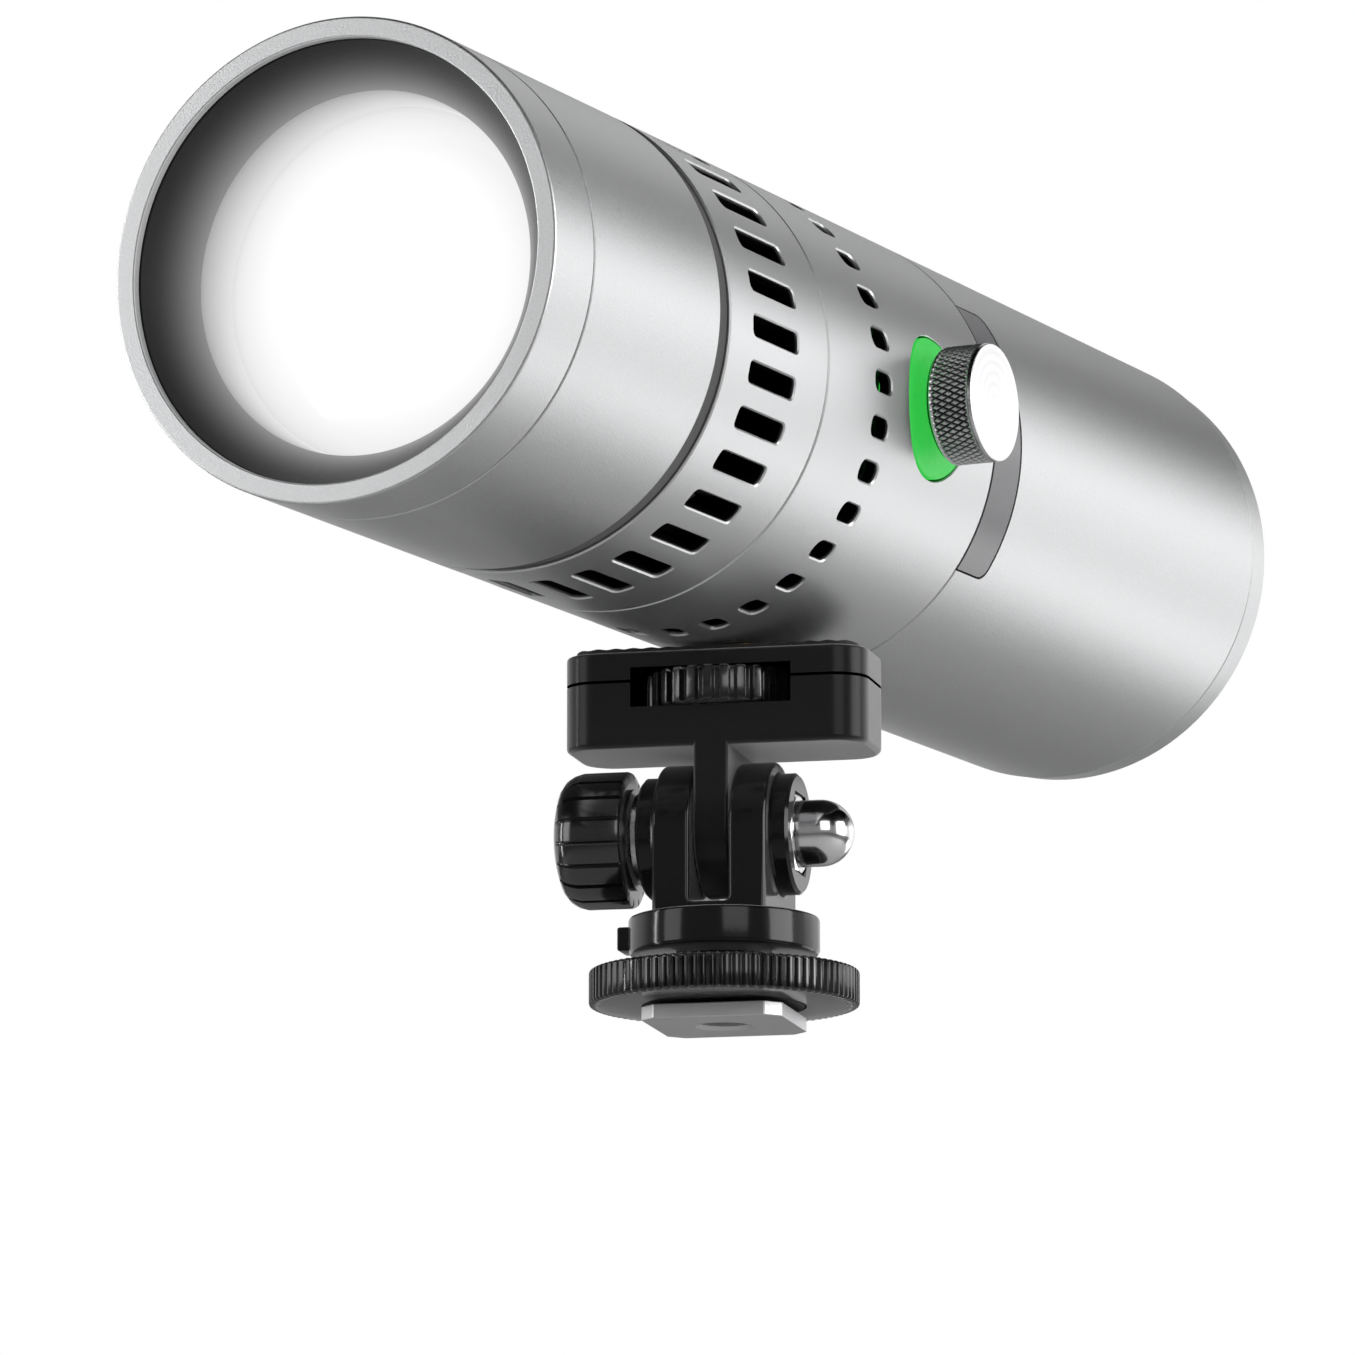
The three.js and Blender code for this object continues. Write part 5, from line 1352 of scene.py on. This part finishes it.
@dataclass
class TiltHead(Assembly):
    """The block under the lamp: two moulded halves, the ribbed pad and the thumbwheel.

    Heights are measured from the foot's underside. The seam line is half the height of the band of painted
    shade at the split, and the paint room is how far the painted shade in the window's recess reaches past its
    walls. The wheel's grooves are deep over a share of half a pitch, the floor, and run out over the slope.
    """

    body: str = "tilt_head"
    axis: Axis = Axis.STAND
    width: float = 40.0
    depth: float = 16.2
    corner: float = 4.6
    bottom: float = 35.6
    split: float = 44.3
    top: float = 48.2
    lower_edge: float = 0.75
    upper_edge: float = 0.45
    seam: float = 0.1
    seam_line: float = 0.25
    paint_room: float = 0.05
    tongue: float = 4.6
    tongue_edge: float = 0.5
    bolt_room: float = 3.2
    screw_room: float = 3.4
    head_room: float = 5.7
    head_room_depth: float = 1.9
    pad_width: float = 37.4
    pad_depth: float = 13.6
    pad_corner: float = 3.3
    pad_gap: float = 0.3
    pad_top: float = 48.9
    pad_ribs: int = 16
    pad_rib: float = 0.14
    window_width: float = 21.2
    window_low: float = 40.9
    window_high: float = 46.1
    wheel_radius: float = 10.0
    wheel_ribs: int = 28
    wheel_groove: float = 0.9
    wheel_floor: float = 0.3
    wheel_slope: float = 0.22

    def build(self) -> None:
        """Makes every piece of the head."""
        self.halves()
        self.pad()
        self.wheel()

    def halves(self) -> None:
        """The two halves, with the tongue below and the wheel's window through both."""
        outline = Shapes.rounded(self.width, self.depth, self.corner)
        lower = Shapes.moulded("block_lower_half", outline, self.bottom, self.split - self.seam,
                               self.lower_edge, self.seam)
        upper = Shapes.moulded("block_upper_half", outline, self.split + self.seam, self.top, self.seam,
                               self.upper_edge)
        half, radius, turn = self.tongue / 2, self.depth / 2, across(LAYOUT.pivot_height)
        top = self.bottom + 2.5 - LAYOUT.pivot_height
        tongue = Shapes.moulded("tongue", [(radius, top), (-radius, top), *Shapes.arc(radius, 1.0, 2.0, 32)],
                                -half, half, self.tongue_edge)
        lower.join(tongue.move(turn)).cut(Shapes.rod("stud", self.bolt_room, -BEYOND, BEYOND, 48).move(turn))
        reach = self.window_width / 2
        for form in (lower, upper):
            form.cut(Shapes.block("window", (-reach, -BEYOND, self.window_low),
                                  (reach, BEYOND, self.window_high)))
        room_low = self.window_low - self.head_room_depth
        lower.cut(Shapes.rod("head_room", self.head_room, room_low, self.split, 64))
        room = Shapes.rounded(self.pad_width + 2 * self.pad_gap, self.pad_depth + 2 * self.pad_gap,
                              self.pad_corner + self.pad_gap)
        upper.cut(Shapes.prism("pad_room", room, self.top - 1.0, self.top + 2.0))
        upper.cut(Shapes.rod("screw_room", self.screw_room, self.split - 2, self.top + 2, 64))
        reach, inside = reach + self.paint_room, radius - self.paint_room
        for form, node in ((lower, "block_base"), (upper, "block_top")):
            piece = self.add(form.shade(30.0), Finishes.PLASTIC, node)
            # Painted shade on the faces inside the window and in the band along the seam between the halves.
            paint_box(piece, self.axis, (-reach, -inside, room_low - self.paint_room),
                      (reach, inside, self.window_high + self.paint_room), Finishes.PAINTED_SHADE)
            paint_box(piece, self.axis, (-self.width, -self.width, self.split - self.seam_line),
                      (self.width, self.width, self.split + self.seam_line), Finishes.PAINTED_SHADE)

    def pad(self) -> None:
        """The rubber pad with ribs that run from front to back."""
        width, depth, steps = self.pad_width, self.pad_depth, 8
        low = self.top - 0.7
        profile: List[Point] = [(-width / 2, low), (width / 2, low)]
        for share in ((k + 0.5) / steps for k in range(self.pad_ribs * steps - 1, -1, -1)):
            wave = 0.5 + 0.5 * math.cos(TURN * share)
            profile.append((-width / 2 + width / self.pad_ribs * share, self.pad_top - self.pad_rib * wave))
        ribs = Shapes.prism("ribbed_pad", profile, -depth, depth)
        ribs.move(Matrix.Rotation(math.pi / 2, 4, "X")).clean()
        outline = Shapes.rounded(width, depth, self.pad_corner)
        ribs.keep(Shapes.prism("outline", outline, low - 1, self.pad_top + 1))
        ribs.cut(Shapes.rod("hole", self.screw_room, low - 2, self.pad_top + 2, 48))
        self.add(ribs.shade(40.0, weighted=False), Finishes.RUBBER, "mount_pad")

    def wheel(self) -> None:
        """The thumbwheel, with a flat rib and a groove in each pitch."""
        low, high, r = self.window_low + 0.3, self.window_high - 0.3, self.wheel_radius

        def groove(share: float) -> float:
            """Depth of the groove over a rib's pitch."""
            rise = min(1.0, max(0.0, (abs(share - 0.5) * 2 - self.wheel_floor) / self.wheel_slope))
            return self.wheel_groove * (1 - rise * rise * (3 - 2 * rise))

        half = [(self.screw_room, 0.0, 0.0), (r - 1.6, 0.0, 0.0), (r - 0.35, 0.0, 1.0), (r - 0.1, 0.1, 1.0),
                (r, 0.35, 1.0)]
        profile = [(radius, low + inset, weight) for radius, inset, weight in half]
        profile += [(radius, high - inset, weight) for radius, inset, weight in half[::-1]]
        ring = Sector("ribbed_thumbwheel", profile, self.wheel_ribs, groove, 24).ring(Finishes.RIBBED)
        self.add(ring.shade(40.0, weighted=False), Finishes.RIBBED, "thumbwheel", body="thumb_screw")


@dataclass
class Clevis(Assembly):
    """The forked base with its collars, the tilt knob, the acorn nut and the washer.

    The ear is the radius of the two ears, the collar that of the low bosses outside them. The disc is the
    round foot that carries the lug. The flute share is the part of a pitch that a flute takes up.
    """

    body: str = "base"
    axis: Axis = Axis.PIVOT
    width: float = 15.0
    ear: float = 9.4
    gap: float = 5.2
    gap_floor: float = 1.0
    collar: float = 7.9
    collar_height: float = 2.6
    pocket_depth: float = 4.9
    pocket_room: float = 0.3
    bolt_room: float = 3.2
    disc_radius: float = 12.4
    disc_low: float = 9.0
    disc_high: float = 14.1
    lug_reach: float = 1.3
    stem_radius: float = 6.6
    stem_flat: float = 5.6
    socket_radius: float = 5.1
    nut_hexagon: float = 4.6
    nut_length: float = 11.7
    nut_across: float = 10.0
    nut_dome: float = 4.35
    knob_radius: float = 8.9
    knob_length: float = 9.7
    hub_radius: float = 6.6
    flutes: int = 18
    flute_depth: float = 0.7
    flute_share: float = 0.2
    washer_radius: float = 6.0
    washer_width: float = 0.8
    clearance: float = 0.3

    def build(self) -> None:
        """Makes every piece round the pivot."""
        self.fork()
        self.nut()
        self.knob()

    def _gap(self) -> Form:
        """The room between the two ears."""
        half = self.gap / 2
        return Shapes.block("gap", (-half, -BEYOND, self.disc_high + self.gap_floor),
                            (half, BEYOND, LAYOUT.pivot_height + BEYOND))

    def fork(self) -> None:
        """The two ears on their round base."""
        pivot, half, turn = LAYOUT.pivot_height, self.width / 2, across(LAYOUT.pivot_height)
        root = self.disc_high - 3.0
        ear = [(-self.ear, root), (self.ear, root)]
        ear += [(x, pivot + y) for x, y in Shapes.arc(self.ear, 0.0, 1.0, 24)]
        body = Shapes.prism("fork", ear, -half, half).move(across()).clean()
        body.cut(self._gap()).soften(0.55, 3, 50)
        reach, collar = half + self.collar_height, self.collar
        profile = [(0, 5.0), (collar + 0.9, half - 0.3), (collar + 0.9, half), (collar + 0.25, half + 0.12),
                   (collar, half + 0.5), (collar, reach - 0.4), (collar - 0.4, reach), (0, reach)]
        for side in (-1, 1):
            body.join(Shapes.turned("collar", [(x, side * y) for x, y in profile], 96).move(turn))
        body.cut(self._gap())
        r, low, high = self.disc_radius, self.disc_low, self.disc_high
        disc = Shapes.turned("disc", [
            (0, low), (r - 0.9, low), (r - 0.3, low + 0.25), (r, low + 0.8), (r, high - 0.5),
            (r - 0.15, high - 0.15), (r - 0.5, high), (0, high)], 128)
        lug = Shapes.block("lug", (-r - self.lug_reach, -2.5, low + 1.0), (-6.0, 2.5, low + 4.1))
        notch = Shapes.block("notch", (-r - self.lug_reach + 0.4, -1.2, low + 2.4), (-r - 0.1, 1.2, low + 6.0))
        disc.join(lug.soften(0.3, 2, 40)).cut(notch)
        stem = Shapes.rod("stem", self.stem_radius, 2.2, low + 1.0, 64)
        stem.keep(Shapes.block("flats", (-self.stem_flat, -BEYOND, 0), (self.stem_flat, BEYOND, BEYOND)))
        body.join(disc, stem)
        pocket = Shapes.prism("pocket", Shapes.hexagon(self.nut_across / math.sqrt(3) + self.pocket_room),
                              reach - self.pocket_depth, reach + 3)
        body.cut(Shapes.rod("bolt", self.bolt_room, -BEYOND, BEYOND, 48).move(turn), pocket.move(turn),
                 Shapes.rod("socket", self.socket_radius, -2, 9.2, 48))
        self.add(body.shade(30.0), Finishes.GLOSSY, "clevis_base", axis=Axis.STAND)

    def nut(self) -> None:
        """The bright acorn nut: a hexagon with a domed crown."""
        start, corner, radius = (self.width / 2 + self.collar_height - self.nut_hexagon,
                                 self.nut_across / math.sqrt(3), self.nut_dome)
        top, end = start + self.nut_hexagon, start + self.nut_length
        nut = Shapes.prism("bright_acorn_nut", Shapes.hexagon(corner), start, top)
        nut.keep(Shapes.turned("turned_edge", [
            (0, start), (corner + 0.05, start), (corner + 0.05, top - 0.6), (self.nut_across / 2 - 0.1, top),
            (0, top)], 96)).soften(0.18, 3, 25)
        dome = [(x, end - radius + y) for x, y in Shapes.arc(radius, 0.0, 0.5, 16)]
        dome[-1] = (0.0, end)
        nut.join(Shapes.turned("crown", [(0, start + 1.0), (radius, start + 1.0)] + dome, 96))
        nut.cut(Shapes.rod("thread", self.bolt_room, start - 1.0, start + 5.8, 48))
        self.add(nut.shade(28.0), Finishes.CHROME, "acorn_nut")

    def knob(self) -> None:
        """The fluted tilt knob and the washer behind it."""
        washer_low = -self.width / 2 - self.collar_height - self.clearance - self.washer_width
        hub = washer_low - self.clearance
        skirt = hub - 0.5
        face, floor, r = skirt - self.knob_length, skirt - 5.8, self.knob_radius

        def flute(share: float) -> float:
            """Depth of the groove over a flute's pitch."""
            aside = abs(share - 0.5) / 0.5 / self.flute_share
            return self.flute_depth * math.sqrt(max(0.0, 1 - aside ** 2)) if aside < 1.0 else 0.0

        profile = [(0.0, face, 0.0), (3.0, face + 0.05, 0.0), (5.6, face + 0.35, 0.0), (7.2, face + 0.9, 0.25),
                   (8.1, face + 1.6, 0.7), (8.6, face + 2.5, 1.0), (r, face + 3.6, 1.0), (r, skirt - 0.5, 1.0),
                   (r - 0.15, skirt - 0.15, 1.0), (r - 0.5, skirt, 1.0), (7.4, skirt, 0.0)]
        profile += [(radius, height, 0.0) for radius, height in (
            (self.hub_radius, skirt), (self.hub_radius, hub), (self.bolt_room, hub), (self.bolt_room, floor),
            (0.0, floor))]
        knob = Sector("fluted_tilt_knob", profile, self.flutes, flute, 20).ring(Finishes.RIBBED)
        self.add(knob.shade(38.0, weighted=False), Finishes.RIBBED, "tilt_knob", body="tilt_clamp")
        washer = Shapes.tube("tilt_spacer", self.washer_radius, self.bolt_room, washer_low,
                             washer_low + self.washer_width, 96)
        self.add(washer.shade(), Finishes.STEEL, "tilt_washer")


@dataclass
class ShoeClamp(Assembly):
    """The toothed lock ring, the clamp washer in it and the square metal foot.

    The key is the radius where each of the washer's two keys starts and ends. They ride on the stem's flats.
    The gap share is the part of a pitch between two teeth, and the gap power sets how round its floor is.
    """

    body: str = "base"
    axis: Axis = Axis.STAND
    ring_radius: float = 17.5
    ring_low: float = 2.6
    ring_high: float = 7.2
    ring_bore: float = 6.9
    ring_recess: float = 10.7
    recess_roof: float = 2.2
    teeth: int = 90
    tooth_gap: float = 0.55
    gap_share: float = 0.72
    gap_power: float = 0.7
    washer_radius: float = 10.4
    washer_low: float = 2.5
    washer_high: float = 4.4
    key: Point = (5.9, 7.4)
    key_width: float = 4.0
    foot: float = 18.6
    foot_cut: float = 2.0
    foot_height: float = 1.9
    hub_radius: float = 4.8
    hub_top: float = 8.9
    socket_radius: float = 3.25
    socket_mouth: float = 3.8
    socket_top: float = 8.1

    def build(self) -> None:
        """Makes the ring, the washer and the foot."""
        self.ring()
        self.washer()
        self.plate()

    def ring(self) -> None:
        """The lock ring: rounded teeth all round and a recess below."""
        r, low, high, roof = self.ring_radius, self.ring_low, self.ring_high, self.ring_high - self.recess_roof

        def gap(share: float) -> float:
            """Depth of the gap over a tooth's pitch."""
            aside = abs(share - 0.5) / 0.5
            return self.tooth_gap * max(0.0, 1 - (aside / self.gap_share) ** 2) ** self.gap_power

        profile = [(self.ring_recess, low, 0.0), (r - 1.2, low, 0.0), (r - 0.4, low + 0.02, 1.0),
                   (r - 0.1, low + 0.15, 1.0), (r, low + 0.4, 1.0), (r, high - 0.4, 1.0),
                   (r - 0.1, high - 0.15, 1.0), (r - 0.4, high, 1.0), (r - 1.2, high, 0.0),
                   (self.ring_bore, high, 0.0), (self.ring_bore, roof, 0.0), (self.ring_recess, roof, 0.0)]
        ring = Sector("toothed_lock_ring", profile, self.teeth, gap, 10).ring(Finishes.RIBBED)
        self.add(ring.shade(40.0, weighted=False), Finishes.RIBBED, "lock_ring", body="shoe_ring")

    def washer(self) -> None:
        """The dark washer that grips the shoe, with a key on either side."""
        low, high, half = self.washer_low, self.washer_high, self.key_width / 2
        washer = Shapes.tube("shoe_washer", self.washer_radius, self.ring_bore, low, high, 96)
        for side in (-1, 1):
            inner, outer = sorted(side * reach for reach in self.key)
            washer.join(Shapes.block("key", (inner, -half, low), (outer, half, high)))
        self.add(washer.shade(), Finishes.RUBBER, "clamp_washer", body="shoe_clamp")

    def plate(self) -> None:
        """The square foot with cut corners and its threaded hub."""
        half, short = self.foot / 2, self.foot / 2 - self.foot_cut
        outline = [(half, short), (short, half), (-short, half), (-half, short),
                   (-half, -short), (-short, -half), (short, -half), (half, -short)]
        plate = Shapes.prism("shoe_foot", outline, 0.0, self.foot_height).soften(0.18, 3, 30)
        plate.join(Shapes.rod("hub", self.hub_radius, self.foot_height - 1.0, self.hub_top, 64))
        plate.cut(Shapes.turned("socket", [
            (0, -2), (self.socket_mouth, -2), (self.socket_mouth, 0.0), (self.socket_radius, 0.5),
            (self.socket_radius, self.socket_top), (0, self.socket_top)], 64))
        self.add(plate.shade(28.0), Finishes.FOOT, "foot_plate")


@dataclass
class Studio:
    """The camera at the photograph's angle, soft lights, a pale floor and a white background.

    Args:
        image_size: width and height of the photograph in pixels.
        focal_pixels: the camera's focal length in pixels of the photograph.
        sensor: width of the camera's sensor in millimetres.
        clip: least and greatest distance that the camera sees.
        camera_place: where the camera stands.
        right, up, forward: the camera's own directions.
        lights_target: the point that the lights face.
        floor_height: height of the floor, under the lamp's stand.
        floor_reach: half of the floor's width.
        floor_colour: the floor's grey.
        floor_roughness: the floor's roughness.
        floor_glow: share of the floor's own light for each kind of ray.
        sky: (height share, grey) stops of the world, from straight down to straight up.
        behind: range of the direction's part along +Y over which metal and glass come to see the sky in full.
        sky_light: the sky's strength for light that falls on the pieces.
    """

    image_size: int = 1355
    focal_pixels: float = 9555.4
    sensor: float = 36.0
    clip: Point = (0.01, 50.0)
    camera_place: Place = (0.5301, -1.0992, -0.1775)
    right: Place = (0.8986, 0.4388, 0.0)
    up: Place = (0.079, -0.1617, 0.9837)
    forward: Place = (-0.4317, 0.8839, 0.18)
    lights_target: Place = (0.0, 0.0, 0.07)
    floor_height: float = -0.45
    floor_reach: float = 4.0
    floor_colour: float = 0.82
    floor_roughness: float = 0.9
    floor_glow: Tuple[Tuple[str, float], ...] = (
        ("Is Camera Ray", 0.9), ("Is Glossy Ray", 0.08), ("Is Transmission Ray", 0.08))
    sky: Tuple[Point, ...] = ((0.63, 1.0), (0.67, 0.11), (0.74, 0.11), (0.78, 0.0))
    behind: Point = (-0.3, 0.0)
    sky_light: float = 0.25

    def build(self) -> None:
        """Makes the camera, the lights, the floor and the world."""
        self.camera()
        self.lights()
        self.floor()
        self.world()

    @staticmethod
    def _place(name: str, data: Optional[bpy.types.ID]) -> bpy.types.Object:
        """Adds an object to the scene."""
        made = bpy.data.objects.new(name, data)
        bpy.context.scene.collection.objects.link(made)
        return made

    def camera(self) -> None:
        """The camera, worked out for the square picture."""
        data = bpy.data.cameras.new("camera")
        data.sensor_width = self.sensor
        data.lens = self.focal_pixels / self.image_size * self.sensor
        data.clip_start, data.clip_end = self.clip
        made = self._place("camera", data)
        turn = Matrix((self.right, self.up, -Vector(self.forward))).transposed().to_4x4()
        made.matrix_world = Matrix.Translation(self.camera_place) @ turn
        bpy.context.scene.camera = made

    def lights(self) -> None:
        """Soft boxes round the lamp; each row is a name, a place, a width and height, and a power in watts."""
        for name, place, size, power in (
                ("side_softbox", (0.6, 1.18, 0.02), (0.7, 0.7), 0.6),
                ("low_side_softbox", (0.55, 1.1, -0.3), (0.7, 0.3), 1.18),
                ("high_side_softbox", (0.55, 1.1, 0.4), (0.7, 0.3), 0.35),
                ("back_softbox", (-0.05, 0.55, 0.55), (0.4, 0.3), 0.32),
                ("front_softbox", (-0.85, -1.05, 0.3), (0.55, 0.8), 3.6),
                ("camera_softbox", (0.9, -1.1, 0.5), (0.8, 0.8), 4.0),
                ("edge_strip", (-1.15, -0.55, 0.1), (0.06, 0.9), 3.0),
                ("right_softbox", (1.3, 0.2, 0.3), (0.8, 0.8), 9.8)):
            data = bpy.data.lights.new(name, "AREA")
            data.shape, data.energy = "RECTANGLE", power
            data.size, data.size_y = size
            lamp = self._place(name, data)
            lamp.location = place
            lamp.rotation_mode = "QUATERNION"
            lamp.rotation_quaternion = (Vector(self.lights_target) - Vector(place)).to_track_quat("-Z", "Y")

    def floor(self) -> None:
        """A plain pale floor, below the lamp as it stands on its support."""
        mesh = bpy.data.meshes.new("floor")
        corners = [(x * self.floor_reach, y * self.floor_reach, self.floor_height)
                   for x, y in ((-1, -1), (1, -1), (1, 1), (-1, 1))]
        mesh.from_pydata(corners, [], [(0, 1, 2, 3)])
        plane = self._place("floor", mesh)
        made = bpy.data.materials.new("pale_floor")
        graph = NodeGraph(made)
        graph.feed(graph.shader, {"Base Color": (*[self.floor_colour] * 3, 1.0),
                                  "Roughness": self.floor_roughness})
        rays, factor = graph.add("ShaderNodeLightPath").outputs, 0.0
        for ray, share in self.floor_glow:
            factor = graph.math("MULTIPLY_ADD", rays[ray], share, factor)
        glow = graph.add("ShaderNodeEmission")
        graph.feed(graph.output, {"Surface": graph.mixed(factor, graph.shader, glow)})
        mesh.materials.append(made)

    def world(self) -> None:
        """A white backdrop for the camera, metal and glass, under a dark ceiling, and a dim light elsewhere."""
        world = bpy.data.worlds.new("studio")
        bpy.context.scene.world = world
        world.use_nodes = True
        tree = NodeTree(world.node_tree)
        direction = tree.add("ShaderNodeTexCoord").outputs["Generated"]
        split = tree.add("ShaderNodeSeparateXYZ", {0: direction}).outputs
        sky = tree.add("ShaderNodeValToRGB", {"Fac": tree.ramp(split["Z"], -1.0, 1.0)})
        elements = sky.color_ramp.elements
        elements.remove(elements[1])
        for k, (at, grey) in enumerate(self.sky):
            element = elements[0] if k == 0 else elements.new(at)
            element.position, element.color = at, (grey, grey, grey, 1.0)
        rays = tree.add("ShaderNodeLightPath").outputs
        mirrored = tree.math("MAXIMUM", rays["Is Glossy Ray"], rays["Is Transmission Ray"])
        mirrored_behind = tree.math("MULTIPLY", mirrored, tree.ramp(split["Y"], *self.behind))
        seen = tree.math("MAXIMUM", rays["Is Camera Ray"], mirrored_behind)
        light, shown = (tree.add("ShaderNodeBackground", {"Color": sky.outputs["Color"], "Strength": strength})
                        for strength in (self.sky_light, 1.0))
        tree.add("ShaderNodeOutputWorld", {"Surface": tree.mixed(seen, light, shown)})


def dress_inner_nodes() -> None:
    """Gives every CAD node that stays its own finish."""
    slots: Dict[str, str] = {row["node"]: row["material_slot"] for row in frame["record"]["subparts"]}
    for name, node in frame["nodes"].items():
        node.data.materials.clear()
        node.data.materials.append(Finishes.by_slot(slots[name]).material())


def main() -> None:
    """Builds the studio and every sub-assembly, in order."""
    logging.basicConfig(level=logging.INFO, format="%(name)s %(message)s")
    bpy.context.scene.view_settings.view_transform = "Standard"
    Studio().build()
    dress_inner_nodes()
    for assembly in (FrontHead, CoolingSection, Controls, RearSection, TiltHead, Clevis, ShoeClamp):
        assembly().build()


if __name__ == "__main__":
    main()
